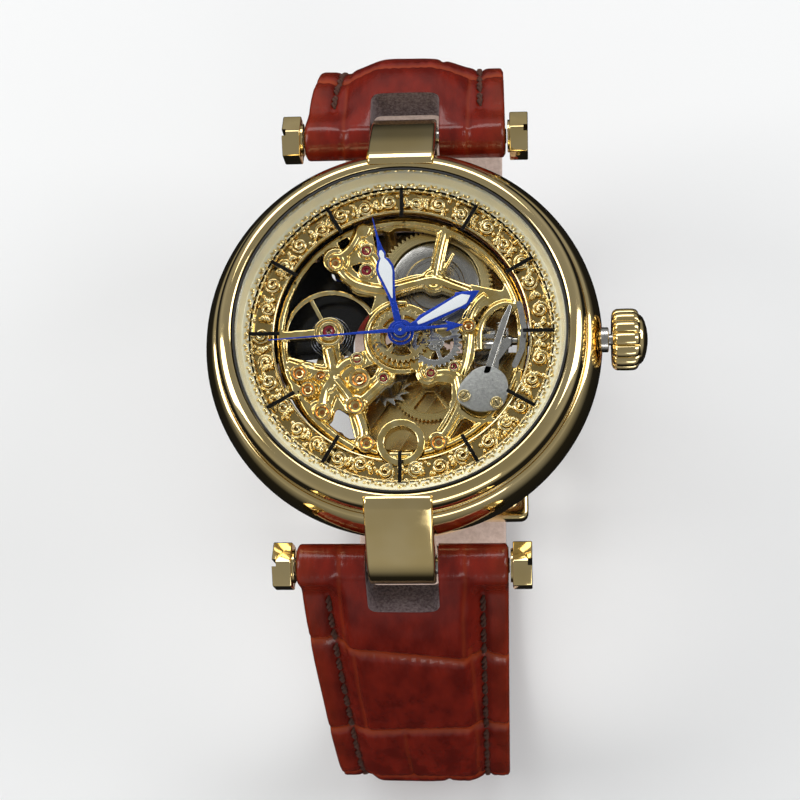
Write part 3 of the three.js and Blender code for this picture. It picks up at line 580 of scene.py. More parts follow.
# %% Case back with its glass
cover = rounded([(12.3, 0.0), (16.0, 0.0), (16.75, 0.55), (16.75, 1.18), (15.22, 1.18), (15.22, 1.72),
                 (12.92, 1.72),
                 (12.92, 0.46), (12.3, 0.46)], 0.12, 3)
KEY_SLOTS, KEY_SLOT_R = 6, 15.0
key_slots = []
for i in range(KEY_SLOTS):
    turn = Matrix.Rotation(i * TAU / KEY_SLOTS, 4, "Z") @ Matrix.Translation((0, KEY_SLOT_R, 0))
    key_slots.append(moved(slab(0.9, 0.5, -0.3, 0.3, 0.05), turn))
back_cover = carved(turned(cover, 160), together(*key_slots))
keep("case_back_cover", back_cover, CASE_GOLD, "case_gold", "case_back")
pane = rounded([(12.2, 0.02), (12.2, 0.5), (12.8, 0.5), (12.8, 1.14)], 0.05, 2, closed=False)
keep("back_glass", turned([(0, 0.02), *pane, (0, 1.14)], 128), GLASS, "watch_glass", "back_crystal")
smooth_edges("case_back_gasket", RUBBER, 0.03)

# %% [markdown]
# ## Lugs, bars and bolts
# Each lug is one polished claw across the middle of the case: it starts on the bezel, runs down over the
# case's side and holds the strap's bar. It is cut as a side view and made wide, with rounded edges. The bar
# ends in hexagonal slotted bolts, which are cut from a hexagon with a turned collar and a screwdriver slot.

# %% Lugs
LUG_W = box("upper_lug")[1][0] * 2
LUG_SIDE = [(15.8, 11.1), (16.3, 11.35), (17.0, 11.2), (19.0, 9.6), (21.0, 7.7), (22.2, 6.4), (22.95, 4.9),
            (22.95, 3.4), (22.0, 2.1), (20.6, 1.88), (19.3, 2.5), (19.12, 4.0), (19.12, 5.8), (18.7, 7.4),
            (17.75, 8.85), (17.5, 10.2), (17.0, 10.85), (16.4, 11.08)]
FROM_SIDE_VIEW = Matrix(((0, 0, 1, 0), (1, 0, 0, 0), (0, 1, 0, 0), (0, 0, 0, 1)))


def claw(turn):
    bar_hole = circle(0.86, 32, (BAR[1], BAR[2]))
    side = plate(rounded(LUG_SIDE, 0.8, 6), -LUG_W / 2, LUG_W / 2, [bar_hole], edge=0.28, rounds=4)
    return moved(side, Matrix.Rotation(turn, 4, "Z") @ FROM_SIDE_VIEW)


keep("upper_claw", claw(0), CASE_GOLD, "case_gold", "upper_lug", sharp=50)
keep("lower_claw", claw(math.pi), CASE_GOLD, "case_gold", "lower_lug", sharp=50)

# %% Bars and bolts
bar_low, bar_high = box("upper_bar")
BAR_R = (bar_high[2] - bar_low[2]) / 2


def pin_profile(radius, low, high, inset, step):
    """Half the section of a pin whose ends are bevelled by inset across and step along."""
    return [(0, low), (radius - inset, low), (radius, low + step), (radius, high - step),
            (radius - inset, high), (0, high)]


for where in ("upper", "lower"):
    y, z = middle(f"{where}_bar")[1:]
    bar = turned(pin_profile(BAR_R, bar_low[0], bar_high[0], 0.12, 0.12), 48)
    bar = moved(bar, Matrix.Translation((0, y, z)) @ LIE_ALONG_X)
    keep(f"{where}_strap_bar", bar, STEEL, "steel", f"{where}_bar")


INSIDE_PACKED = 0.985


def bolt(node):
    low, high = box(node)
    side = math.copysign(1, low[0])
    length, across_flats = high[0] - low[0], (high[1] - low[1]) * INSIDE_PACKED ** 2
    hexagon = circle(across_flats / 2 / math.cos(math.pi / 6), 6)
    head = plate(rounded(hexagon, 0.16, 3), 0.2, length, edge=0.13, rounds=3)
    slot = slab(4, 0.33, length - 0.42, length + 1, 0.02)
    collar = pipe(0.85, 1.6, 0, 0.3, 0.06)
    made = together(carved(head, slot), collar)
    turn = Matrix.Rotation(0 if side > 0 else math.pi, 4, "Z") @ LIE_ALONG_X
    start = low[0] if side > 0 else high[0]
    return moved(made, Matrix.Translation((start, (low[1] + high[1]) / 2, (low[2] + high[2]) / 2)) @ turn)


for node in ("upper_left_bolt", "upper_right_bolt", "lower_left_bolt", "lower_right_bolt"):
    keep(node.replace("bolt", "hex_bolt"), bolt(node), CASE_GOLD, "case_gold", node, sharp=30)

# %% [markdown]
# ## Crown and stem
# The crown is a knob with thirteen round flutes and a domed end. A turned profile whose radius also depends
# on the angle gives the flutes, which fade out at both ends as a milled flute does.

# %% Crown
crown_low, crown_high = box("crown")
CROWN_R = crown_high[1]
FLUTES, STEPS_PER_FLUTE, FLUTE_DEPTH = 13, 14, 0.34
crown_profile = [(0.75, 0.0), (1.9, 0.0), (2.5, 0.02), (2.72, 0.12), (2.86, 0.3), (2.93, 0.5), (2.95, 0.9),
                 (2.95, 1.3),
                 (2.95, 1.7), (2.93, 2.0), (2.86, 2.25), (2.72, 2.42), (2.5, 2.52), (2.36, 2.6),
                 (2.3, 2.72), (2.1, 2.92),
                 (1.7, 3.12), (1.1, 3.28), (0.5, 3.37), (0.0, 3.4), (0.0, 1.4), (0.75, 1.4)]


def crown():
    widest = max(r for r, z in crown_profile)
    steps = FLUTES * STEPS_PER_FLUTE
    verts, faces = [], []
    for i in range(steps):
        angle = i * TAU / steps
        wave = abs(math.cos(angle * FLUTES / 2)) ** 0.6
        for r, z in crown_profile:
            depth = FLUTE_DEPTH * min(1, max(0, (r - 2.3) / 0.4))
            radius = (r - depth * (1 - wave)) * CROWN_R / widest
            verts.append((*polar(radius, angle), crown_low[0] + z))
    count = len(crown_profile)
    for i in range(steps):
        here, there = i * count, (i + 1) % steps * count
        for k in range(count):
            n = (k + 1) % count
            faces.append((here + k, there + k, there + n, here + n))
    return moved(mesh_of(verts, faces), ON_STEM)


keep("fluted_crown", crown(), CASE_GOLD, "case_gold", "crown", sharp=50)


stem_low, stem_high = box("winding_stem")
stem_profile = [(0, stem_low[0]), (0.4, stem_low[0]), (0.54, stem_low[0] + 0.2), (0.54, 10.3), (0.4, 10.4),
                (0.4, 10.9),
                (0.54, 11.0), (0.54, stem_high[0]), (0, stem_high[0])]
keep("stem", moved(turned(stem_profile, 48), ON_STEM), STEEL, "steel", "winding_stem")
tube_low, tube_high = box("crown_tube")
case_tube = moved(pipe(0.76, 1.19, tube_low[0], tube_high[0], 0.1), ON_STEM)
keep("case_tube", case_tube, STEEL, "steel", "crown_tube")
ring_low, ring_high = box("crown_gasket")
stem_gasket = moved(pipe(0.6, 0.7, ring_low[0], ring_high[0], 0.04), ON_STEM)
keep("stem_gasket", stem_gasket, RUBBER, "gasket_rubber", "crown_gasket")

# %% [markdown]
# ## Wheels
# A wheel is a toothed plate with spokes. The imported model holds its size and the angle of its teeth, so both
# are read off it: the furthest point at the wheel's height is the tip of a tooth. Each tooth then gets a
# flat top and rounded flanks, and the windows between the spokes get rounded corners.


# %% Gear outlines
def tip_of(node, centre, low, high):
    """The radius and angle of a tooth's tip, between two heights of a packed wheel."""
    points = np.array([v.co for v in frame["nodes"][node].data.vertices]) / MM
    level = points[(points[:, 2] > low - 0.01) & (points[:, 2] < high + 0.01)][:, :2] - centre
    reach = np.hypot(*level.T)
    tip = level[reach.argmax()]
    return reach.max(), math.atan2(tip[1], tip[0])


TOOTH = [(-0.5, 1.0), (-0.34, 0.95), (-0.24, 0.45), (-0.13, 0.05), (0.0, 0.0), (0.13, 0.05), (0.24, 0.45),
         (0.34, 0.95)]
SAW_TOOTH = [(0.0, 0.0), (0.06, 0.05), (0.1, 0.95), (0.2, 1.0), (0.55, 0.7), (0.85, 0.25)]


def toothed(tip, teeth, depth, phase, centre, form=TOOTH):
    return [polar(tip - depth * down, phase + (i + along) * TAU / teeth, centre)
            for i in range(teeth) for along, down in form]


def windows(count, hub, rim, spoke, centre, turn=0.3):
    """The openings between spokes of one width, from the hub's radius to the rim's."""
    made = []
    for i in range(count):
        start, end = (math.degrees(turn + k * TAU / count) for k in (i, i + 1))
        by_rim, by_hub = (math.degrees(spoke / r / 2) for r in (rim, hub))
        outer = arc(rim, start + by_rim, end - by_rim, 8, centre)
        inner = arc(hub, end - by_hub, start + by_hub, 4, centre)
        made.append(rounded(outer + inner, 0.18, 3))
    return made


def wheel(node, centre, low, high, teeth, depth, holes=(), form=TOOTH, edge=0.03):
    tip, phase = tip_of(node, centre, low, high)
    return plate(toothed(tip, teeth, depth, phase, centre, form), low, high, holes, edge)


def arbor(centre, radius, low, high):
    soft = min(0.08, radius / 3)
    return turned(pin_profile(radius, low, high, soft, soft), 28, centre)


# %% Going train
barrel_rim = wheel("barrel_drum", BARREL, 5.3, 5.75, 72, 0.32, [circle(4.4, 96, BARREL)])
drum = turned(rounded([(0.86, 4.02), (4.78, 4.02), (4.78, 5.32), (4.5, 5.32), (4.5, 4.26), (0.86, 4.26)],
                      0.08), 128, BARREL)
keep("mainspring_barrel", together(barrel_rim, drum), BRASS, "wheel_brass", "barrel_drum")
cover_profile = [(0.86, 5.36), (4.24, 5.36), (4.24, 5.52), (4.1, 5.58), (2.9, 5.58), (2.8, 5.5), (2.5, 5.5),
                 (2.4, 5.58),
                 (1.3, 5.58), (1.2, 5.5), (0.86, 5.5)]
keep("barrel_lid", turned(cover_profile, 128, BARREL), DRUM_STEEL, "steel", "barrel_cover")
CENTRE = (0.0, 0.0)
centre_rim = wheel("centre_wheel", CENTRE, 3.5, 3.7, 64, 0.2, windows(4, 0.9, 2.6, 0.45, CENTRE))
centre_leaves = wheel("centre_wheel", CENTRE, 5.2, 5.8, 12, 0.3, [circle(0.24, 20)])
centre_pipe = pipe(0.23, 0.36, 3.5, 8.2, 0.04, 28, rounds=2)
keep("centre_wheel_fine", together(centre_rim, centre_leaves, centre_pipe), FINE_GOLD, "wheel_brass",
     "centre_wheel")
third_rim = wheel("third_wheel", THIRD, 3.2, 3.35, 60, 0.2, windows(5, 0.9, 3.0, 0.4, THIRD))
third_leaves = wheel("third_wheel", THIRD, 3.5, 3.9, 8, 0.2)
third_set = together(third_rim, third_leaves, arbor(THIRD, 0.13, 2.02, 7.18))
keep("third_wheel_fine", third_set, TRAIN_BRASS, "wheel_brass", "third_wheel")
fourth_rim = wheel("fourth_wheel", CENTRE, 2.85, 3.05, 60, 0.2, windows(4, 0.8, 2.7, 0.4, CENTRE))
fourth_leaves = wheel("fourth_wheel", CENTRE, 3.1, 3.42, 8, 0.18)
fourth_set = together(fourth_rim, fourth_leaves, arbor(CENTRE, 0.15, 2.02, 9.93))
keep("fourth_wheel_fine", fourth_set, FINE_GOLD, "wheel_brass", "fourth_wheel")
escape_rim = wheel("escape_wheel", ESCAPE, 3.9, 4.05, 15, 0.6, windows(4, 0.5, 1.3, 0.3, ESCAPE), SAW_TOOTH)
escape_leaves = wheel("escape_wheel", ESCAPE, 2.8, 3.12, 6, 0.16)
escape_set = together(escape_rim, escape_leaves, arbor(ESCAPE, 0.13, 2.02, 5.88),
                      arbor(ESCAPE, 0.28, 3.7, 4.2))
keep("escape_wheel_fine", escape_set, STEEL, "steel", "escape_wheel")

# %% Motion work, ratchet and winding wheels
minute_rim = wheel("minute_wheel", MINUTE, 7.35, 7.55, 30, 0.3, windows(4, 0.85, 1.75, 0.35, MINUTE))
minute_leaves = wheel("minute_wheel", MINUTE, 7.7, 7.95, 8, 0.28)
keep("minute_wheel_fine", together(minute_rim, minute_leaves, arbor(MINUTE, 0.3, 7.4, 7.94)), STEEL,
     "steel", "minute_wheel")
hour_rim = wheel("hour_wheel", CENTRE, 7.7, 7.9, 32, 0.28, windows(5, 1.15, 2.0, 0.4, CENTRE))
hour_pipe = pipe(0.71, 0.91, 7.7, 9.02, 0.05, 40, rounds=2)
keep("hour_wheel_fine", together(hour_rim, hour_pipe), FINE_GOLD, "wheel_brass", "hour_wheel")
cannon_leaves = wheel("cannon_pinion", CENTRE, 7.35, 7.6, 10, 0.26, [circle(0.42, 24)])
cannon_pipe = pipe(0.41, 0.64, 7.4, 9.42, 0.05, 40, rounds=2)
keep("cannon_pinion_fine", together(cannon_leaves, cannon_pipe), STEEL, "steel", "cannon_pinion")
CROWN_WHEEL = middle("crown_wheel")[:2]
SUNBURST = brushed("sunburst_steel", (0.80, 0.79, 0.76), (0.45, 0.44, 0.42), 0.16, BARREL, fineness=7.0)
ratchet_rim = wheel("ratchet_wheel", BARREL, 1.3, 1.7, 48, 0.28, form=SAW_TOOTH)
ratchet_screw = turned([(0, 1.04), (0.7, 1.04), (0.95, 1.14), (0.95, 1.32), (0, 1.32)], 40)
ratchet_screw = shifted(carved(ratchet_screw, slab(2, 0.14, 0.8, 1.16, 0.01)), *BARREL)
ratchet_set = together(ratchet_rim, arbor(BARREL, 0.65, 1.32, 6.9))
keep("ratchet_wheel_fine", ratchet_set, SUNBURST, "steel", "ratchet_wheel")
crown_wheel_rim = wheel("crown_wheel", CROWN_WHEEL, 1.3, 1.7, 22, 0.25, form=SAW_TOOTH)
crown_wheel_pipe = pipe(1.5, 1.94, 1.6, 4.0, 0.06, 40, CROWN_WHEEL)
keep("crown_wheel_fine", together(crown_wheel_rim, crown_wheel_pipe), SUNBURST, "steel", "crown_wheel")
for node in ("click", "setting_lever", "clutch_lever", "pallet_fork", "mainspring"):
    smooth_edges(node, STEEL, 0.06)
for node in ("sliding_pinion", "winding_pinion"):
    smooth_edges(node, STEEL, 0.03)

# %% Balance and hairspring
rim = pipe(4.25, 4.74, 4.92, 5.34, 0.1, 128, BALANCE)
SPOKE_TURN, RIM_SCREWS = math.radians(118), 10
spoke = slab(4.35, 0.2, 4.98, 5.22, 0.05)
spoke = moved(spoke, Matrix.Translation((*BALANCE, 0)) @ Matrix.Rotation(SPOKE_TURN, 4, "Z"))
screw_places = [polar(4.62, SPOKE_TURN + i * TAU / RIM_SCREWS, BALANCE) for i in range(RIM_SCREWS)]
rim_screws = [bead(0.16, (*at, 5.24), 0.6) for at in screw_places]
hub = pipe(0.16, 0.72, 4.92, 5.25, 0.08, 40, BALANCE)
roller = pipe(0.16, 0.58, 4.46, 4.6, 0.04, 40, BALANCE)
balance_set = together(rim, spoke, hub, roller, arbor(BALANCE, 0.15, 2.02, 7.18), *rim_screws)
keep("balance_wheel_fine", balance_set, FINE_GOLD, "wheel_brass", "balance_wheel")
TURNS, PER_TURN, INNER, OUTER = 6, 40, 0.62, 2.08
coil = []
for i in range(TURNS * PER_TURN + 1):
    out = INNER + (OUTER - INNER) * i / (TURNS * PER_TURN)
    coil.append((*polar(out, i * TAU / PER_TURN, BALANCE), 5.62))
keep("balance_spring", wire(coil, 0.045, rounds=2), SPRING_STEEL, "blued_steel", "hairspring")

# %% [markdown]
# ## The open-worked plate
# The plate is a gilded casting: arms, bosses and rails that run into each other with soft corners. Separate
# bars can't look like that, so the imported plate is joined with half-round rails, bosses and rims, and the
# whole is remeshed as one skin and relaxed. The remesh is what fills the corners as a casting would.

# %% Rails, rims and bosses
PLATE_TOP = 7.2
S_BRIDGE = [(-6.38, 7.69), (-5.6, 6.2), (-4.2, 5.2), (-1.6, 4.7), (1.2, 5.3), tuple(BARREL), (4.9, 4.9),
            (6.4, 4.3)]
RAILS = [
    (S_BRIDGE, 0.5),
    ([tuple(BARREL), (3.5, 8.3), (4.1, 11.0)], 0.42),
    ([(4.0, 6.6), (4.9, 8.3)], 0.2),
    ([(4.1, 10.0), (3.2, 11.2)], 0.35),
    ([(4.1, 10.0), (5.1, 10.8)], 0.35),
    ([(-6.38, 7.69), (-4.9, 9.0), (-3.9, 11.0)], 0.5),
    ([(-3.9, 9.4), (-2.4, 7.6), (-1.7, 5.4)], 0.45),
    ([(-6.93, -1.0), (-6.5, -3.4), (-7.3, -5.2), (-7.67, -7.17)], 0.55),
    ([(-10.8, -2.4), (-8.4, -3.2), (-6.4, -3.5)], 0.45),
    ([(-6.4, -3.6), (-5.2, -2.4), (-3.6, -2.1)], 0.5),
    ([(-6.2, -4.0), (-5.1, -5.4), (-4.39, -6.54)], 0.55),
    ([(-4.39, -6.54), (-2.9, -5.2), (-1.6, -3.9)], 0.4),
    ([(-4.39, -6.54), (-3.6, -8.6), (-3.32, -10.56)], 0.5),
    ([(2.0, -2.3), (2.45, -3.5), (4.2, -3.4), (5.4, -3.9)], 0.4),
    ([(5.4, -3.9), (5.6, -6.0), (4.6, -8.4), (3.37, -10.25)], 0.45),
    ([(5.4, -3.9), (5.9, -2.3), (6.2, -0.4), (6.3, 1.5), (7.0, 3.1), (7.9, 4.0)], 0.35),
    ([(7.3, -1.4), (7.35, 0.6), (8.2, 2.3), (9.6, 3.1), (10.8, 2.9)], 0.42),
    ([(5.2, -7.0), (7.0, -8.1), (9.4, -7.9), (10.7, -5.9), (11.1, -3.4)], 0.4),
    ([(-9.0, -5.4), (-10.3, -4.4), (-10.9, -3.2)], 0.5),
    ([(-9.6, -5.6), (-8.4, -7.6), (-6.2, -9.6), (-4.4, -10.8)], 0.6),
]
BOSSES = [((-6.38, 7.69), 1.25), ((-3.43, 8.54), 0.75), ((-3.41, 6.55), 0.8), (tuple(BARREL), 1.0),
          (tuple(THIRD), 0.85),
          (tuple(ESCAPE), 0.7), ((-4.21, -2.15), 0.75), ((-4.39, -6.54), 1.05), ((-7.67, -7.17), 1.2),
          ((-3.32, -10.3), 0.95),
          ((3.37, -10.1), 0.95), ((-9.0, -3.2), 0.9), ((-6.9, -4.6), 0.8), ((5.2, -2.9), 0.6),
          ((6.1, 0.9), 0.8),
          ((-3.8, 10.6), 0.7), ((-10.4, -5.2), 0.7)]
CUPS = [((-9.65, -3.5), 0.85), ((-7.6, -3.8), 0.55), ((-8.8, -5.1), 0.8), ((-7.4, -7.3), 0.85),
        ((-4.3, -6.7), 0.9),
        ((-3.97, -4.1), 1.05), ((-3.2, -10.3), 0.8), ((3.5, -10.3), 0.85), ((-6.38, 7.3), 0.85),
        ((6.3, 0.9), 0.75)]
WEB = [(-10.7, -2.6), (-8.2, -2.7), (-6.2, -3.2), (-4.9, -3.0), (-2.7, -3.4), (-2.9, -5.4), (-3.4, -7.6),
       (-4.6, -7.7),
       (-6.2, -6.6), (-6.6, -8.3), (-8.2, -8.4), (-9.8, -6.9), (-11.0, -4.6)]


RIM_LINE_R = 11.35
SIX = (0, -10.3)  # the round window at six o'clock
LEVER_BEARING, LEVER_SPAN, LEVER_DIP = -8.0, 6.0, 0.34


def rim_path():
    """The rim's middle line, sunk where the setting lever swings over it."""
    for x, y in arc(RIM_LINE_R, 181, 472, 160):
        aside = abs(math.degrees(math.atan2(y, x)) - LEVER_BEARING)
        yield (x, y, PLATE_TOP - LEVER_DIP * min(1, max(0, 2 - aside / LEVER_SPAN)))


def relief():
    made = [wire([(x, y, PLATE_TOP - 0.12) for x, y in flowing(path, 8)], radius) for path, radius in RAILS]
    for centre, radius in BOSSES:
        made.append(pipe(radius * 0.62, radius, 7.0, 7.42, 0.16, 32, centre))
    centre_ring = [(*p, PLATE_TOP - 0.05) for p in arc(3.35, 82, 285, 60)]
    made.append(wire(centre_ring, 0.34))
    made.append(plate(rounded(WEB, 0.6), 6.3, 6.75, edge=0.1))
    made += [rod(radius, 6.4, 7.1, 32, centre) for centre, radius in CUPS]
    made.append(wire(list(rim_path()), 0.3))
    window_rim = rounded([(1.56, 6.1), (2.28, 6.1), (2.28, 7.85), (1.9, 7.9), (1.56, 7.6)], 0.2)
    made.append(turned(window_rim, 64, SIX))
    return made


def cast_plate():
    packed = frame["nodes"]["main_plate"].data.copy()
    packed.transform(Matrix.Scale(1 / MM, 4))
    lump = together(packed, *relief())
    skin = ("REMESH", {"mode": "VOXEL", "voxel_size": 0.09})
    return evaluated(lump, skin, ("SMOOTH", {"factor": 0.5, "iterations": 3}))


keep("gilded_plate", cast_plate(), CAST_GOLD, "movement_gold", "main_plate", sharp=180)


# %% Screws and jewels
def screw(at, radius, top):
    head = turned([(0, top - 0.5), (radius, top - 0.5), (radius, top - 0.12), (radius * 0.9, top - 0.03),
                   (radius * 0.6, top), (0, top)], 40)
    slot = slab(2, radius * 0.13, top - 0.16, top + 0.5, 0.01)
    turn = Matrix.Rotation(at[0] * 1.7 + at[1], 4, "Z")
    return moved(carved(head, slot), Matrix.Translation((*at, 0)) @ turn)


screw_set = [screw(tuple(BARREL), 0.55, 7.45), screw((-1.07, -12.75), 0.4, 8.5),
             screw((1.2, -12.75), 0.4, 8.5)]
keep("plate_screws", together(*screw_set), FINE_GOLD, "movement_gold", body="case")


def cup(at, radius):
    """A polished countersunk seat, bright on its lip and dark in its throat."""
    lip = [(0.30, 7.0), (0.97, 7.0), (0.97, 7.76), (0.88, 7.86), (0.72, 7.86), (0.46, 7.52), (0.30, 7.48)]
    return turned([(radius * share, z) for share, z in lip], 48, at)


def cup_pin(at, radius):
    side = [(0, 7.0), (radius * 0.28, 7.0), (radius * 0.28, 7.56), (radius * 0.18, 7.64), (0, 7.66)]
    return turned(side, 24, at)


cup_set = together(*(cup(at, radius) for at, radius in CUPS))
keep("countersunk_seats", cup_set, FINE_GOLD, "movement_gold", body="case")
cup_pins = together(*(cup_pin(at, radius) for at, radius in CUPS))
keep("seat_pins", cup_pins, COPPER_GOLD, "movement_gold", body="case")


def jewel(at, radius, top, hole=0.13):
    return turned([(hole, top - 0.5), (radius, top - 0.5), (radius, top - 0.08), (radius * 0.88, top),
                   (radius * 0.6, top - 0.02), (hole * 1.8, top - 0.16), (hole, top - 0.22)], 36, at)


keep("balance_jewel_fine", jewel(BALANCE, 0.58, 7.5, 0.2), RUBY, "ruby", "balance_jewel")
keep("third_jewel_fine", jewel(THIRD, 0.52, 7.28, 0.17), RUBY, "ruby", "third_wheel_jewel")
SMALL_JEWELS = [((-3.43, 8.54), 0.46), ((-3.41, 6.55), 0.48), ((-4.21, -2.15), 0.4),
                ((-1.7, -4.05), 0.36), ((2.75, -3.6), 0.38), ((4.9, -3.0), 0.3)]
small = [jewel(at, r, 7.56) for at, r in SMALL_JEWELS]
keep("small_jewels", together(*small), RUBY, "ruby", body="case")
chatons = [pipe(0.6, 0.92, 6.9, 7.62, centre=BALANCE), pipe(1.15, 1.42, 6.9, 7.4, centre=BALANCE),
           pipe(0.54, 0.72, 6.9, 7.42, centre=THIRD)]
chatons += [pipe(r + 0.02, r + 0.24, 6.9, 7.62, centre=at) for at, r in SMALL_JEWELS]
keep("jewel_settings", together(*chatons), FINE_GOLD, "movement_gold", body="case")

# %% Bridges seen through the back
def striped_gold():
    """Gilding with the broad slanted stripes that a turning wheel grinds into a bridge."""
    finish = Finish("striped_gold")
    turn = {"Vector": finish.place(), "Angle": 0.6}
    slanted = finish.node("ShaderNodeVectorRotate", {"rotation_type": "Z_AXIS"}, turn)
    bands = {"wave_type": "BANDS", "bands_direction": "X", "wave_profile": "SAW"}
    across = {"Vector": slanted, "Scale": 0.18, "Distortion": 0.1}
    stripes = finish.node("ShaderNodeTexWave", bands, across)
    grain = finish.noise(finish.stretched(slanted, 1, 14, 1), 1.4, 3.0)
    tint = finish.mix(stripes * 0.6 + grain * 0.4, (0.78, 0.52, 0.16), (0.95, 0.74, 0.34))
    return finish.surface(
        base_color=tint, metallic=1.0, roughness=stripes * 0.14 + 0.14,
        normal=finish.bump(stripes + grain * 0.2, 0.05),
    )


STRIPED_GOLD = striped_gold()
for node in ("barrel_bridge", "train_bridge", "balance_cock", "pallet_cock"):
    smooth_edges(node, STRIPED_GOLD, 0.12)
BACK_SCREWS = [(-6.38, 7.69), (9.6, -6.0), (10.1, 4.6), (-1.4, 11.0), (3.37, -10.25), (-3.32, -10.4)]


def back_screw(at):
    turned_over = Matrix.Translation((*at, 1.9)) @ Matrix.Rotation(math.pi, 4,
        "X") @ Matrix.Translation((-at[0], -at[1], 0))
    return moved(screw(at, 0.62, 0.3), turned_over)


back_set = [back_screw(at) for at in BACK_SCREWS]
keep("bridge_screws", together(*back_set, ratchet_screw), BLUED_STEEL, "blued_steel", body="case")

# %% Black spacer and a black shelf of painted shade
def six_way():
    """What is cut away for the round window at six o'clock."""
    return rod(2.42, 5, 9, 48, SIX)


stem_way = moved(rod(1.0, 11, 16, 24), ON_STEM)
# The shelf is a black sheet under the open work between nine and eleven o'clock. It is painted shade that
# hides the strap and floor which would show through there.
shade_shelf = plate(sector(5.0, 12.4, 112, 186, 40), 2.85, 3.15, edge=0.06)
shade_shelf = carved(shade_shelf, rod(0.85, 2, 4, 40, (-6.38, 7.69)), rod(0.45, 2, 4, 32, BALANCE))
spacer = pipe(12.2, 15.28, 1.98, 7.12, 0.15, 144)
spacer_and_shade_shelf = together(carved(spacer, six_way(), stem_way), shade_shelf)
keep("movement_spacer_and_shade_shelf", spacer_and_shade_shelf, BLACK_SPACER_AND_SHADE, "black_spacer", "movement_ring")

# %% [markdown]
# ## Keyless work under the small steel plate
# At the right of the dial side a blasted steel plate holds the setting levers, with a coil spring and a long
# polished lever beside it.

# %% Setting plate, lever and spring
corners = [(5.1, -6.5), (5.4, -4.9), (6.9, -3.3), (8.3, -3.0), (9.8, -3.9), (10.1, -5.6), (9.4, -7.3),
           (7.0, -7.6)]
cover_plate = plate(rounded(corners, 0.8), 7.75, 8.12, edge=0.08)
lever_outline = [(7.6, -3.9), (8.3, -3.9), (10.0, 1.2), (10.45, 2.75), (10.1, 2.8), (9.4, 1.4)]
long_lever = plate(rounded(lever_outline, 0.3), 7.85, 8.12, edge=0.06)
keep("setting_cover", cover_plate, BLASTED_STEEL, "steel", "setting_bridge")
keep("long_lever", long_lever, STEEL, "steel", body="case")
PLATE_SCREWS = ((5.9, -6.0), (8.9, -6.7))
plate_eyes = [pipe(0.36, 0.58, 8.05, 8.33, centre=at) for at in PLATE_SCREWS]
plate_heads = [screw(at, 0.36, 8.28) for at in PLATE_SCREWS]
keep("setting_screws", together(*plate_eyes, *plate_heads), FINE_GOLD, "movement_gold", body="case")
COILS, PER_COIL, SPRING_LENGTH = 10, 14, 3.0
spring_path = []
for i in range(COILS * PER_COIL + 1):
    turn = i * TAU / PER_COIL
    along = SPRING_LENGTH * i / (COILS * PER_COIL)
    spring_path.append((9.35 + 0.38 * math.cos(turn), -1.6 + along, 7.2 + 0.3 * math.sin(turn)))
keep("setting_spring", wire(spring_path, 0.09), STEEL, "steel", body="case")

# %% [markdown]
# ## Dial rings
# Inside the glass a pale slope runs down to the hour marks. Below it lies a border of cast scrolls, leaves
# and beads, which is one motif repeated round the ring with a mirrored neighbour and small differences.

# %% Hour marks
slope = rounded([(14.35, 8.76), (15.54, 8.76), (15.54, 10.2), (15.3, 10.2), (14.98, 8.98), (14.35, 8.9)],
                0.04, 3)
keep("chapter_slope", turned(slope, 160), PALE_GOLD, "pale_gold", "hour_marker_ring")
HOURS = 12
baton_outline = rounded([(11.4, -0.17), (14.3, -0.17), (14.3, 0.17), (11.4, 0.17)], 0.05)
batons = [moved(plate(baton_outline, 8.94, 9.12, edge=0.04), Matrix.Rotation(i * TAU / HOURS, 4, "Z"))
          for i in range(HOURS)]
keep("hour_batons", together(*batons), BATON_BLACK, "baton_black", body="case")

# %% Scroll border
random.seed(7)
BORDER_FLOOR = 8.06


def scroll(centre_r, angle, size, hand):
    """A spiral scroll that lies on the border."""
    path = []
    for i in range(40):
        t = i / 39
        r = size * (1 - 0.82 * t)
        turn = hand * (t * 1.7 * TAU) + angle
        x, y = polar(r, turn, polar(centre_r, angle))
        path.append((x, y, BORDER_FLOOR + 0.14 + 0.3 * t))
    return wire(path, 0.17, rounds=2, taper=lambda t: 0.75 + 0.5 * t)


def leaf_blade(r, angle, heading, length):
    start = polar(r, angle)
    path = [(*polar(length * t, heading, start), BORDER_FLOOR + 0.16 + 0.26 * math.sin(math.pi * t))
            for t in np.linspace(0, 1, 9)]
    return wire(path, 0.2, rounds=2, taper=lambda t: 0.15 + math.sin(math.pi * t) ** 0.7)


def border_motif(i, count):
    angle, hand = i * TAU / count, 1 if i % 2 else -1
    wobble = random.uniform(-0.02, 0.02)
    made = [scroll(13.1 + hand * 0.12, angle + wobble, 0.78, hand)]
    for k in range(3):
        heading = angle + hand * (0.9 + 0.8 * k) + random.uniform(-0.2, 0.2)
        made.append(leaf_blade(12.5 + 0.55 * k, angle + TAU / count * 0.42, heading,
                               random.uniform(0.6, 0.95)))
    for k in range(6):
        r, size = random.uniform(12.3, 14.1), random.uniform(0.15, 0.27)
        made.append(bead(size, (*polar(r, angle + TAU / count * random.uniform(0.2, 0.8)),
                                BORDER_FLOOR + 0.2)))
    return made


border_base = rounded([(12.06, 7.32), (14.24, 7.32), (14.24, 8.6), (14.06, 8.6), (13.98, 8.04),
                       (12.32, 8.04), (12.24, 8.36), (12.06, 8.3)], 0.06, 3)
MOTIFS = 34
RIM_BEADS = 120
motifs = [piece for i in range(MOTIFS) for piece in border_motif(i, MOTIFS)]
motifs += [bead(0.19, (*polar(14.18, i * TAU / RIM_BEADS), 8.56)) for i in range(RIM_BEADS)]
border = together(carved(turned(border_base, 144), six_way()), *motifs)
keep("scroll_border", border, BORDER_GOLD, "movement_gold", "engraved_ring", sharp=60)


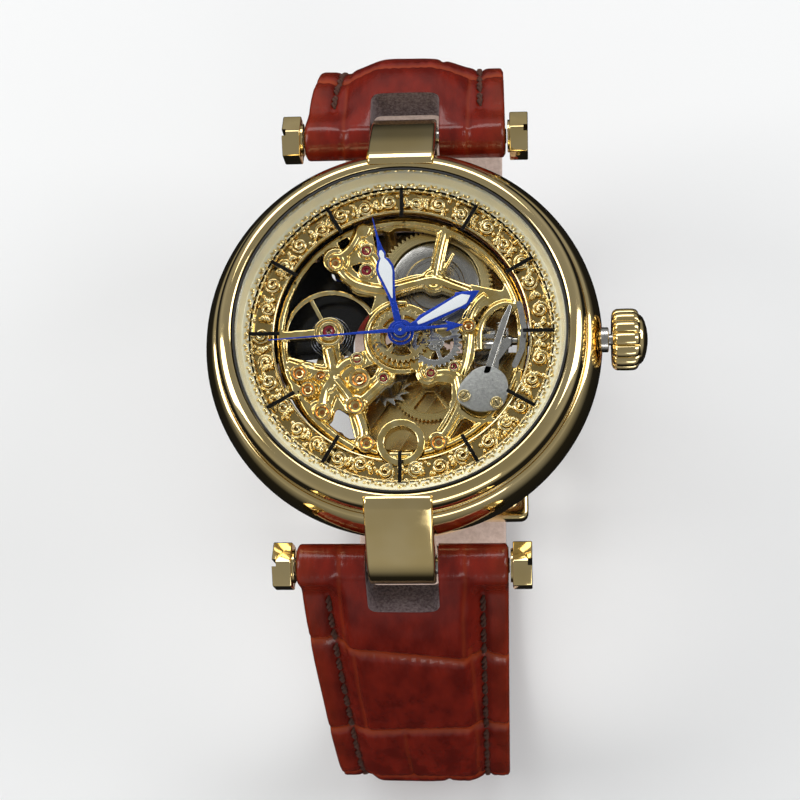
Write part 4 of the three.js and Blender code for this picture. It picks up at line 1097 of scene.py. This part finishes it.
def edge_motif(i, count):
    """A bead and two small leaves on the foot of the slope."""
    angle = i * TAU / count
    size, wander = random.uniform(0.16, 0.24), random.uniform(-0.12, 0.12)
    made = [bead(size, (*polar(14.62 + wander, angle), 8.92), 0.8)]
    for hand in (-1, 1):
        start = polar(14.5 + 0.1 * hand, angle + hand * TAU / count * 0.3)
        heading = angle + hand * random.uniform(0.5, 1.2)
        path = [(*polar(0.5 * t, heading, start), 8.93) for t in np.linspace(-0.5, 0.6, 6)]
        made.append(wire(path, 0.12, rounds=1, taper=lambda t: 0.2 + math.sin(math.pi * t)))
    return made


EDGE_MOTIFS = 84
edge_beads = [piece for i in range(EDGE_MOTIFS) for piece in edge_motif(i, EDGE_MOTIFS)]
keep("edge_beads", together(*edge_beads), FINE_GOLD, "movement_gold", body="case")

# %% [markdown]
# ## Hands
# Blued hands with white inlays. Each blade is a mirrored outline about its length, raised as a thin plate
# with a rounded edge, and the inlay is a second, narrower plate that stands a hair above it.


# %% Hand outlines
def blade(right_side, low, high, angle, holes=(), edge=0.04):
    outline = [(half, along) for half, along in right_side] + [(-half, along) for half,
        along in reversed(right_side)]
    return moved(plate(outline, low, high, holes, edge), Matrix.Rotation(angle, 4, "Z"))


def hand_angle(node):
    """Where a hand points: away from the centre to its furthest point."""
    points = np.array([v.co for v in frame["nodes"][node].data.vertices])[:, :2]
    tip = points[np.hypot(*points.T).argmax()]
    return math.atan2(tip[1], tip[0]) - math.pi / 2


HOUR, MINUTE_HAND, SECONDS = hand_angle("hour_hand"), hand_angle("minute_hand"), hand_angle("seconds_hand")
hour_side = [(0.34, 1.0), (0.36, 1.7), (0.6, 2.3), (0.72, 6.1), (0.95, 6.3), (0.45, 7.5), (0.03, 8.35)]
hour_blade = together(blade(hour_side, 8.83, 8.97, HOUR), pipe(0.96, 1.24, 8.83, 9.01, steps=64))
keep("hour_hand_fine", hour_blade, BLUED_STEEL, "blued_steel", "hour_hand")
hour_inlay = [(0.14, 1.8), (0.26, 2.4), (0.54, 6.2), (0.5, 6.75), (0.04, 7.35)]
keep("hour_inlay", blade(hour_inlay, 8.94, 9.02, HOUR, edge=0.02), LUME, "lume_white", body="hour")
minute_side = [(0.34, 0.8), (0.28, 3.0), (0.42, 3.9), (0.82, 5.8), (0.84, 6.5), (0.6, 7.15), (0.3, 7.4),
               (0.42, 7.85),
               (0.27, 8.3), (0.13, 9.2), (0.03, 11.55)]
minute_blade = together(blade(minute_side, 9.25, 9.38, MINUTE_HAND), pipe(0.68, 0.94, 9.25, 9.43, steps=64))
keep("minute_hand_fine", minute_blade, BLUED_STEEL, "blued_steel", "minute_hand")
minute_inlay = [(0.05, 3.3), (0.24, 4.2), (0.62, 5.9), (0.62, 6.4), (0.42, 6.95), (0.18, 7.35), (0.25, 7.8),
                (0.1, 8.15)]
keep("minute_inlay", blade(minute_inlay, 9.35, 9.42, MINUTE_HAND, edge=0.02), LUME, "lume_white",
     body="centre")
seconds_side = [(0.02, -5.85), (0.3, -5.0), (0.52, -4.25), (0.16, -4.45), (0.13, -3.0), (0.22, -1.3),
                (0.3, 0.0), (0.2, 0.9),
                (0.09, 5.0), (0.05, 12.35)]
seconds_blade = blade(seconds_side, 9.73, 9.84, SECONDS, [circle(0.17, 16)], 0.03)
seconds_blade = together(seconds_blade, pipe(0.17, 0.58, 9.73, 9.91, steps=64))
keep("seconds_hand_fine", seconds_blade, BLUED_STEEL, "blued_steel", "seconds_hand")
keep("seconds_pivot", arbor(CENTRE, 0.16, 9.5, 9.96), STEEL, "steel", body="seconds")

# %% [markdown]
# ## The strap
# Each half of the strap is a leather sheet folded round the bar, with padding between it and the lining up to
# the stitches. The leather is pressed with large square scales, so the relief is real height in the mesh:
# the grooves between scales, the pillowed scales, the thin stitched edges and the channel that the thread
# lies in. A cloth simulation would wash that pressed pattern out, and a strap this stiff keeps the curve it
# was bent to, so the sheet is worked out directly as a fine grid along the middle line of the strap.

# %% Middle lines
UPPER_LINE = [(21.27, 4.12), (25.6, 3.0), (30.6, -2.0), (33.6, -10), (33.3, -20), (28.5, -30),
              (18.5, -36.3), (6, -38.6),
              (0, -38.9)]
LOWER_LINE = [(-21.27, 4.12), (-24.6, 0), (-28.4, -7), (-32.4, -16.5), (-36.2, -26), (-38.4, -33.5),
              (-37.0, -40.2),
              (-31.2, -44.9), (-22, -46.6), (-8, -46.9), (6, -46.4), (18, -43.8), (28.5, -37)]
ROLL_R = 2.08
STITCH_IN = 2.45
SIDE_ROUND = 0.4


def evenly(points, step):
    """A smooth curve through the points, as points a fixed step apart."""
    p = np.array([2 * np.array(points[0]) - points[1], *points, 2 * np.array(points[-1]) - points[-2]], float)
    dense = []
    for i in range(1, len(p) - 2):
        gaps = [max(np.linalg.norm(p[i + k + 1] - p[i + k]), 1e-6) ** 0.5 for k in (-1, 0, 1)]
        paces = [(p[i + k + 1] - p[i + k]) / gap for k, gap in zip((-1, 0, 1), gaps)]
        a = (paces[0] - (p[i + 1] - p[i - 1]) / (gaps[0] + gaps[1]) + paces[1]) * gaps[1]
        b = (paces[1] - (p[i + 2] - p[i]) / (gaps[1] + gaps[2]) + paces[2]) * gaps[1]
        t = np.linspace(0, 1, 60, endpoint=False)[:, None]
        step_on = p[i + 1] - p[i]
        dense.append(p[i] + a * t + (3 * step_on - 2 * a - b) * t ** 2 + (a + b - 2 * step_on) * t ** 3)
    dense = np.vstack([*dense, p[-2]])
    along = np.concatenate([[0], np.cumsum(np.linalg.norm(np.diff(dense, axis=0), axis=1))])
    even = np.linspace(0, along[-1], int(along[-1] / step) + 1)
    return even, np.column_stack([np.interp(even, along, dense[:, k]) for k in (0, 1)])


def step_up(x, low, high):
    t = np.clip((x - low) / (high - low), 0, 1)
    return t * t * (3 - 2 * t)


def ripple(x, v, size, seed):
    """A gentle repeatable unevenness between -1 and 1."""
    draw = np.random.default_rng(seed)
    total = 0
    for _ in range(7):
        heading, phase, pitch = draw.uniform(0, TAU), draw.uniform(0, TAU), size * draw.uniform(0.6, 1.6)
        total = total + np.sin((x * math.cos(heading) + v * math.sin(heading)) * TAU / pitch + phase)
    return total / 7


# %% The sheets of a leaf
COLUMNS = 96
ROLL_STEPS = 26
TAIL_ROUND = 0.6
RELIEF_ENDS = 2.2  # how far round the roll the pressed pattern goes, in radians
OUTER_FACE, LINING_FACE, SIDE_FACE, CUT_FACE = range(4)


def blank_sheets(mesh):
    """Room for one finish per sheet, so that the numbers on the faces hold through a cut."""
    for _ in (OUTER_FACE, LINING_FACE, SIDE_FACE, CUT_FACE):
        mesh.materials.append(None)


# %% A strap leaf
class Leaf:
    """One half of the strap. v runs along it from the bar, x across it."""

    def __init__(self, line, outward, thin, rows, columns, pointed, pad_edge, seed):
        self.v, self.line = evenly(line, 0.28)
        self.length = self.v[-1]
        self.outward, self.thin, self.pointed, self.seed = outward, thin, pointed, seed
        self.rows, self.columns, self.pad_edge = rows, columns, pad_edge
        slope = np.gradient(self.line, axis=0)
        self.slope = slope / np.linalg.norm(slope, axis=1)[:, None]

    def half_width(self, v):
        t = np.clip(v / self.length, 0, 1)
        half = 10 - np.minimum(1, t * 1.6) - 0.15
        return half * (1 - 0.55 * (np.clip(t - 0.9, 0, 1) / 0.1) ** 2) if self.pointed else half

    def half_depth(self, v):
        t = np.clip(v / self.length, 0, 1)
        return (4.0 + (self.thin - 4.0) * np.minimum(1, t * 3)) / 2 - 0.02

    def grooves(self, x, v):
        """How far it is to the nearest groove that runs across the strap, and to the nearest along it."""
        wander = 0.35 * ripple(x, v, 9, self.seed)
        nearest = np.full(np.broadcast(x, v).shape, 9.0)
        beside = nearest.copy()
        starts = [-9, *[r[0] for r in self.rows], self.length + 20]
        for place, tilt in self.rows:
            nearest = np.minimum(nearest, np.abs(v + wander - place - tilt * x - 0.012 * x * x))
        for k, lines in enumerate(self.columns[: len(starts) - 1]):
            inside = (v > starts[k] - 0.8) & (v < starts[k + 1] + 0.8)
            for place, slant in lines:
                gap = np.abs(x + wander * 0.5 - place - slant * (v - starts[k]))
                beside = np.minimum(beside, np.where(inside, gap, 9.0))
        return nearest, beside

    def top(self, x, v):
        """Height of the outer face above the middle line."""
        half, depth = self.half_width(v), self.half_depth(v)
        edge = -depth + np.minimum(1.85, depth * 1.4)
        edge = edge + (ROLL_R - edge) * (1 - step_up(v, 0.0, 3.8))
        inside = half - STITCH_IN - np.abs(x)
        crown = step_up(inside, 0.0, self.pad_edge) * (0.90 + 0.10 * step_up(inside, 1.8, 6.0))
        body = edge + (depth - edge) * crown
        across, along = self.grooves(x, v)
        relief = -0.42 * np.exp(-(across / 0.62) ** 2) - 0.20 * np.exp(-(along / 0.30) ** 2)
        relief = relief - 0.12 * np.exp(-np.minimum(across, along) / 1.2)
        crease = 0.5 + 0.5 * np.cos(6.5 * x + 2.0 * np.sin(0.7 * v) + 2.5 * ripple(x, v, 4.0, self.seed + 2))
        relief = relief - 0.10 * crease ** 3 * np.exp(-((across - 1.3) / 0.9) ** 2)
        channel = -0.38 * np.exp(-(inside / 0.45) ** 2) * step_up(v, 2.6, 3.6)
        return body + relief * 0.9 + channel + 0.035 * ripple(x, v, 3.0, self.seed + 1)

    def frame_at(self, v):
        y, z = (np.interp(v, self.v, self.line[:, k]) for k in (0, 1))
        ty, tz = (np.interp(v, self.v, self.slope[:, k]) for k in (0, 1))
        return y, z, ty, tz

    def point(self, x, v, n):
        y, z, ty, tz = self.frame_at(v)
        return np.stack(np.broadcast_arrays(x, y - tz * n * self.outward, z + ty * n * self.outward), axis=-1)

    def rounding(self, x, half):
        """How far the face falls away at the strap's sides."""
        past = np.clip((np.abs(x) - (half - SIDE_ROUND)) / SIDE_ROUND, 0, 1)
        return SIDE_ROUND * (1 - np.sqrt(1 - past ** 2))

    def stations(self):
        """Rows of points across the leaf: its face from the tail, the roll round the bar, its lining."""
        u = np.linspace(-1, 1, COLUMNS + 1)
        for v in self.v[::-1]:
            half = float(self.half_width(v))
            x = u * half
            to_end = min(1, max(0, 1 - (self.length - v) / TAIL_ROUND))
            tail = 0.5 * (1 - math.sqrt(1 - to_end ** 2))
            yield self.point(x, v, self.top(x, v) - self.rounding(x, half) - tail), x, v
        half = float(self.half_width(0.0))
        x = u * half
        bar_y, bar_z, ty, tz = (float(a) for a in self.frame_at(0.0))
        for k in range(1, ROLL_STEPS):
            angle = math.pi * k / ROLL_STEPS
            v = -ROLL_R * angle
            relief = 0 * x
            if angle < RELIEF_ENDS:
                relief = self.top(x, np.full_like(x, v)) - self.top(np.zeros(1), np.full(1, v))
            r = ROLL_R + np.clip(relief, -0.3, 0) * (1 - angle / 2.3) - self.rounding(x, half)
            n, back = r * math.cos(angle), r * math.sin(angle)
            y = bar_y - ty * back - tz * n * self.outward
            z = bar_z - tz * back + ty * n * self.outward
            yield np.stack([x, y, z], axis=-1), x, v
        for v in self.v:
            half = float(self.half_width(v))
            x = u * half
            depth = float(self.half_depth(v))
            yield self.point(x, v, self.rounding(x, half) * 0.6 - depth), x, v

    def faces(self):
        """The faces between the stations, each with its sheet: outer, lining or painted edge."""
        count, along = COLUMNS + 1, len(self.v)
        last = 2 * along + ROLL_STEPS - 2
        for i in range(last):
            sheet = OUTER_FACE if i < along + int(ROLL_STEPS * 0.75) else LINING_FACE
            for k in range(COLUMNS):
                a = i * count + k
                yield (a, a + 1, a + count + 1, a + count), sheet
        for i in range(along - 1):
            for k in (0, COLUMNS):
                quad = [i * count + k, (i + 1) * count + k, (last - i - 1) * count + k,
                        (last - i) * count + k]
                yield tuple(quad if k else quad[::-1]), SIDE_FACE
        for k in (0, COLUMNS):
            fan = [i * count + k for i in range(along - 1, along + ROLL_STEPS)]
            yield tuple(fan if k else fan[::-1]), SIDE_FACE
        for k in range(COLUMNS):
            yield (k + 1, k, last * count + k, last * count + k + 1), SIDE_FACE

    def mesh(self):
        """The folded sheet, closed at both sides and at the tail."""
        verts, lay, groove = [], [], []
        for points, x, v in self.stations():
            verts.append(points)
            lay.append(np.stack(np.broadcast_arrays(x, v, 0.0 * x), axis=-1))
            across, along = self.grooves(x, np.full_like(x, v))
            groove.append(np.maximum(np.exp(-(across / 0.75) ** 2), 0.6 * np.exp(-(along / 0.35) ** 2)))
        faces, sheets = zip(*self.faces())
        made = bpy.data.meshes.new("leaf")
        made.from_pydata(np.concatenate(verts).tolist(), [], faces)
        blank_sheets(made)
        made.polygons.foreach_set("material_index", np.array(sheets, np.int32))
        for name, kind, field, rows in (("groove", "FLOAT", "value", groove),
                                        ("lay", "FLOAT_VECTOR", "vector", lay)):
            values = np.concatenate(rows).astype(np.float32).ravel()
            made.attributes.new(name, kind, "POINT").data.foreach_set(field, values)
        bm = bmesh.new()
        bm.from_mesh(made)
        bmesh.ops.recalc_face_normals(bm, faces=bm.faces)
        bm.to_mesh(made)
        bm.free()
        return made

    def matrix(self, v):
        """A frame on the strap: X across, Y along, Z outwards."""
        y, z, ty, tz = (float(a) for a in self.frame_at(v))
        out = (-tz * self.outward, ty * self.outward)
        return Matrix(((1, 0, 0, 0), (0, ty, out[0], y), (0, tz, out[1], z), (0, 0, 0, 1)))


# %% Leather, lining, edges and thread
def leather():
    finish = Finish("strap_leather")
    lay = finish.node("ShaderNodeAttribute", {"attribute_name": "lay"}, output="Vector")
    groove = finish.node("ShaderNodeAttribute", {"attribute_name": "groove"}, output="Fac")
    across = finish.node("ShaderNodeSeparateXYZ", {}, {0: lay}, output="X")
    rim = finish.node("ShaderNodeMath", {"operation": "ABSOLUTE"}, {0: across}).between(7.0, 9.6)
    cloud = finish.noise(finish.stretched(lay, 0.5, 0.22, 1), 1.0, 3.0)
    grain = finish.noise(lay, 5.0, 4.0, 0.65)
    creases = finish.noise(finish.stretched(lay, 2.4, 0.5, 1), 1.0, 3.0)
    deep = finish.mix(cloud.between(0.3, 0.7), (0.115, 0.0058, 0.0026), (0.205, 0.0125, 0.0048))
    warm = finish.mix(groove.between(0.25, 0.95) * 0.55 + rim * 0.16, deep, (0.36, 0.055, 0.010))
    tint = finish.mix(grain.between(0.55, 0.85) * 0.3, warm, (0.07, 0.008, 0.004))
    height = grain * 0.35 + creases.between(0.35, 0.7) * 0.5
    return finish.surface(
        base_color=tint, roughness=grain * 0.12 + 0.17, normal=finish.bump(height, 0.04), coat_weight=0.3,
        coat_roughness=0.06, specular_ior_level=0.25,
    )


def suede(name, light, dark, size, height, sheen=0.0):
    finish = Finish(name)
    place = finish.place()
    fluff = finish.noise(place, 1 / size, 5.0, 0.7)
    broad = finish.noise(place, 0.35, 2.0)
    return finish.surface(
        base_color=finish.mix(fluff.between(0.3, 0.7) * 0.7 + broad * 0.3, dark, light), roughness=0.9,
        normal=finish.bump(fluff, height), sheen_weight=sheen,
    )


LEATHER = leather()
LINING = suede("strap_lining", (0.72, 0.57, 0.50), (0.50, 0.37, 0.31), 0.5, 0.05, 0.15)
EDGE_PAINT = suede("edge_paint", (0.075, 0.018, 0.010), (0.030, 0.008, 0.006), 0.6, 0.04)
RAW_EDGE = suede("raw_edge", (0.30, 0.23, 0.24), (0.030, 0.016, 0.018), 0.26, 0.12)
THREAD = suede("stitch_thread", (0.12, 0.040, 0.022), (0.030, 0.010, 0.007), 0.2, 0.05)

# %% Cut and keep the two leaves
# A groove across is (its place along the strap, its slant). A groove along is (its place across, its slant),
# and the grooves along are grouped by the band between two grooves across that they run in.
UPPER_ACROSS = [(9.5, 0.03), (22.0, -0.05), (34.0, 0.04), (45.0, -0.03), (55.0, 0.04), (64.0, 0.0)]
UPPER_ALONG = [[(-6.1, 0.0), (5.9, 0.02)], [(3.2, 0.02), (-6.3, 0.0)], [(-2.5, -0.02), (6.0, 0.0)],
               [(2.0, 0.02), (-6.0, 0)], [(-5.8, 0), (5.8, 0)], [(0.5, 0.03)], [(-3, 0), (3, 0)]]
LOWER_ACROSS = [(11.3, 0.17), (27.5, -0.05), (40.5, 0.04), (52.5, -0.04), (63.5, 0.03), (74.0, -0.03),
                (84.0, 0.03), (93.5, 0.0), (102.5, 0.02)]
LOWER_ALONG = [[(-5.7, -0.03), (6.1, -0.04)], [(-5.4, 0.0), (5.9, 0.03)], [(-1.5, 0.02), (6.0, 0.0)],
               [(2.5, 0), (-6.0, 0)], [(-5.6, 0), (5.7, 0)], [(0.6, 0.02)], [(-3.2, 0), (3.4, 0)],
               [(0.4, 0)], [(-3, 0), (3, 0)], [(0, 0)]]
UPPER = Leaf(UPPER_LINE, 1, 2.5, UPPER_ACROSS, UPPER_ALONG, False, 4.6, 3)
LOWER = Leaf(LOWER_LINE, -1, 2.2, LOWER_ACROSS, LOWER_ALONG, True, 2.2, 11)
print("strap lengths", round(UPPER.length, 1), round(LOWER.length, 1))


def lug_notch(leaf):
    half = LUG_W / 2 + 0.22
    outline = rounded([(-half, -6), (half, -6), (half, 4.1), (-half, 4.1)], 0.9, 6)
    tool = plate(outline, -4.5, 4.5, edge=0.02)
    return moved(tool, leaf.matrix(0))


def as_cutter(mesh):
    blank_sheets(mesh)
    mesh.polygons.foreach_set("material_index", np.full(len(mesh.polygons), CUT_FACE, np.int32))
    return mesh


HOLE_R, HOLE_START, HOLE_STEP, HOLES = 0.85, 0.64, 0.042, 7
buckle_holes = [moved(rod(HOLE_R, -4, 4, 24), LOWER.matrix(LOWER.length * (HOLE_START + i * HOLE_STEP)))
                for i in range(HOLES)]
tongue_slot = moved(plate(rounded([(-1.5, -3.2), (1.5, -3.2), (1.5, 4), (-1.5, 4)], 0.5), -4, 4, edge=0.02),
                    UPPER.matrix(UPPER.length))
SHEETS = [LEATHER, LINING, EDGE_PAINT, RAW_EDGE]
upper_mesh = carved(UPPER.mesh(), as_cutter(together(lug_notch(UPPER), tongue_slot)))
lower_mesh = carved(LOWER.mesh(), as_cutter(together(lug_notch(LOWER), *buckle_holes)))
upper_piece = keep("upper_leather", upper_mesh, SHEETS, "strap_leather", "upper_strap", sharp=60)
lower_piece = keep("lower_leather", lower_mesh, SHEETS, "strap_leather", "lower_strap", sharp=60)


# %% Twisted stitches
STITCH_POINTS = 13


def stitch(leaf, side, start, length):
    """Two strands laid round each other, diving into the leather at both ends."""
    made = []
    for strand in (0, 1):
        path = []
        for t in np.linspace(0, 1, STITCH_POINTS):
            v = start + length * t
            twist = (t * 1.5 + strand / 2) * TAU
            x = side * (float(leaf.half_width(v)) - STITCH_IN) + 0.15 * math.cos(twist)
            sink = 0.55 * (abs(2 * t - 1) ** 5)
            n = float(leaf.top(np.array([x]), np.array([v]))[0]) + 0.12 + 0.12 * math.sin(twist) - sink
            path.append(tuple(leaf.point(np.array([x]), np.array([v]), n)[0]))
        made.append(wire(path, 0.16, rounds=1))
    return made


def seam(leaf, first, last, pitch=2.5):
    made = []
    for side in (-1, 1):
        for start in np.arange(first, last, pitch):
            made += stitch(leaf, side, float(start), pitch * 0.94)
    return together(*made)


keep("upper_stitches", seam(UPPER, 4.0, UPPER.length - 6), THREAD, "stitch_thread", body="upper_strap")
keep("lower_stitches", seam(LOWER, 4.0, LOWER.length * 0.9), THREAD, "stitch_thread", body="lower_strap")


# %% Keepers
def painted_leather(name):
    """Leather for small pieces, which have no scales."""
    finish = Finish(name)
    place = finish.place()
    cloud, grain = finish.noise(place, 0.6, 3.0), finish.noise(place, 5.0, 4.0, 0.65)
    tint = finish.mix(cloud.between(0.3, 0.7), (0.11, 0.0058, 0.0026), (0.20, 0.0125, 0.0048))
    return finish.surface(
        base_color=tint, roughness=grain * 0.12 + 0.18, normal=finish.bump(grain, 0.05), coat_weight=0.4,
        coat_roughness=0.15,
    )


KEEPER_LEATHER = painted_leather("keeper_leather")
KEEPER_WALL = 1.2


def keeper(node, width, clearance):
    """A leather loop whose opening holds both straps, one over the other."""
    inner = (9 + clearance, 2.55 + clearance)
    outer = (inner[0] + KEEPER_WALL, inner[1] + KEEPER_WALL)
    corners = [[(-w, -h), (w, -h), (w, h), (-w, h)] for w, h in (outer, inner)]
    opening = [rounded(corners[1], 0.7, 8)]
    band = plate(rounded(corners[0], 1.5, 8), -width / 2, width / 2, opening, edge=0.3, rounds=3)
    target = middle(node)[1:]
    near = UPPER.v[np.hypot(*(UPPER.line - target).T).argmin()]
    upright = Matrix(((1, 0, 0, 0), (0, 0, 1, 0), (0, 1, 0, 0), (0, 0, 0, 1)))
    turn = UPPER.matrix(near).to_3x3().to_4x4() @ upright
    return moved(band, Matrix.Translation((0, *target)) @ turn)


keep("fixed_loop", keeper("fixed_keeper", 3.4, 0.25), KEEPER_LEATHER, "strap_leather", "fixed_keeper")
keep("free_loop", keeper("free_keeper", 4.2, 0.45), KEEPER_LEATHER, "strap_leather", "free_keeper")

# %% [markdown]
# ## The buckle
# A pin buckle: a polished frame on a sprung bar, and a tongue that lies under the front of the frame.

# %% Buckle
pin_y, pin_z = middle("buckle_bar")[1:]
pin_low, pin_high = box("buckle_bar")
pin_r = (pin_high[2] - pin_low[2]) / 2
PIN_PLACE = Matrix.Translation((0, pin_y, pin_z))
pin = turned(pin_profile(pin_r, pin_low[0], pin_high[0], pin_r * 0.4, 0.3), 40)
keep("buckle_pin", moved(pin, PIN_PLACE @ LIE_ALONG_X), STEEL, "steel", "buckle_bar")
frame_outline = [(-11.6, 1.4), (-11.6, -9.3), (11.6, -9.3), (11.6, 1.4), (10.1, 1.4), (10.1, -7.7),
                 (-10.1, -7.7), (-10.1, 1.4)]
frame_mesh = plate(rounded(frame_outline, 1.1, 6), -1.2, 1.2, edge=0.5, rounds=5)
keep("buckle_bow", shifted(frame_mesh, 0, pin_y, pin_z), CASE_GOLD, "case_gold", "buckle_frame", sharp=50)
eye = plate(circle(1.5, 40), -0.75, 0.75, [circle(0.86, 32)], edge=0.15)
tongue_side = [(0.4, -1.45), (-4.0, -1.36), (-8.6, -1.34), (-8.9, -1.6), (-8.6, -2.04), (-4.0, -2.04),
               (0.4, -1.5)]
tongue_bar = plate(rounded(tongue_side, 0.3), -0.72, 0.72, edge=0.2, rounds=3)
tongue = moved(together(eye, tongue_bar), PIN_PLACE @ FROM_SIDE_VIEW)
keep("buckle_prong", tongue, CASE_GOLD, "case_gold", "buckle_tongue", sharp=50)

# %% [markdown]
# ## Floor, light and camera
# A plain pale floor lies just under the strap. The light comes from a wide softbox behind the watch, one on
# each side, a small one in front and a dim room, because polished metal only looks polished when it has both
# bright panels and dark gaps to mirror. The floor is hidden from mirror rays only, so that the flanks of the
# case mirror the dark lower half of the room.

# %% Floor
FLOOR_Z = CAD_BOX[0][2] - 0.0002
FLOOR_HALF = 1.5


def floor():
    finish = Finish("pale_floor")
    soft = finish.noise(finish.place(), 0.01, 2.0)
    pale = finish.mix(soft, (0.86, 0.875, 0.89), (0.89, 0.90, 0.91))
    material = finish.surface(base_color=pale, roughness=0.85)
    signs = [(-1, -1), (1, -1), (1, 1), (-1, 1)]
    mesh = mesh_of([(x * FLOOR_HALF, y * FLOOR_HALF, FLOOR_Z) for x, y in signs], [(0, 1, 2, 3)])
    mesh.materials.append(material)
    plane = bpy.data.objects.new("floor", mesh)
    scene.collection.objects.link(plane)
    plane.visible_glossy = False


floor()


# %% Softboxes and room
def softbox(name, place, target, width, height, power, colour=(1, 1, 1)):
    lamp = bpy.data.lights.new(name, "AREA")
    lamp.shape = "RECTANGLE"
    lamp.size, lamp.size_y, lamp.energy, lamp.color = width, height, power, colour
    obj = bpy.data.objects.new(name, lamp)
    scene.collection.objects.link(obj)
    aim = (Vector(target) - Vector(place)).to_track_quat("-Z", "Y")
    obj.matrix_world = Matrix.Translation(place) @ aim.to_matrix().to_4x4()


softbox("back", (-0.12, 0.52, 0.44), (0, 0, 0), 0.80, 0.30, 2.5)
softbox("left", (-0.58, 0.02, 0.38), (0, 0, 0), 0.28, 0.60, 2.3, (1.0, 0.985, 0.96))
softbox("right", (0.55, 0.10, 0.36), (0, 0, 0), 0.26, 0.60, 2.0)
softbox("front", (0.25, -0.62, 0.24), (0, 0, 0), 0.40, 0.20, 0.7)

room = Finish("room", bpy.data.worlds)
way = room.node("ShaderNodeTexCoord", output="Generated")
height = room.node("ShaderNodeSeparateXYZ", {}, {0: way}, output="Z") * 0.5 + 0.5
greys = [(0.0, 0.02), (0.27, 0.03), (0.40, 0.42), (0.55, 0.72), (0.80, 0.55), (1.0, 0.52)]
stops = [(place, (grey, grey, grey * 0.98)) for place, grey in greys]
shade = room.node("ShaderNodeValToRGB", {"stops": stops}, {0: height})
glow = room.node("ShaderNodeBackground", {}, {"Color": shade, "Strength": 0.5})
room.node("ShaderNodeOutputWorld", {}, {"Surface": glow})
scene.world = room.material
scene.view_settings.view_transform = "Standard"

# %% Camera
CAMERA_PLACE = Vector((12.32, -47.54, 175.47)) * MM
CAMERA_TARGET = Vector((-0.31, -5.56, 5.0)) * MM
CAMERA_LENS = 83.5
CAMERA_ROLL = math.radians(-0.63)

forward = (CAMERA_TARGET - CAMERA_PLACE).normalized()
level = Vector((1, 0, 0))
right = (level - forward * level.dot(forward)).normalized()
above = right.cross(forward)
turned_right = right * math.cos(CAMERA_ROLL) + above * math.sin(CAMERA_ROLL)
turned_up = turned_right.cross(forward)
lens = bpy.data.cameras.new("camera")
lens.lens, lens.sensor_width, lens.sensor_fit = CAMERA_LENS, 36, "HORIZONTAL"
lens.clip_start, lens.clip_end = 0.01, 10
camera = bpy.data.objects.new("camera", lens)
scene.collection.objects.link(camera)
camera.matrix_world = Matrix((
    (turned_right.x, turned_up.x, -forward.x, CAMERA_PLACE.x),
    (turned_right.y, turned_up.y, -forward.y, CAMERA_PLACE.y),
    (turned_right.z, turned_up.z, -forward.z, CAMERA_PLACE.z),
    (0, 0, 0, 1),
))
scene.camera = camera
print("camera right", tuple(round(v, 4) for v in turned_right))

# %% The json module
import json
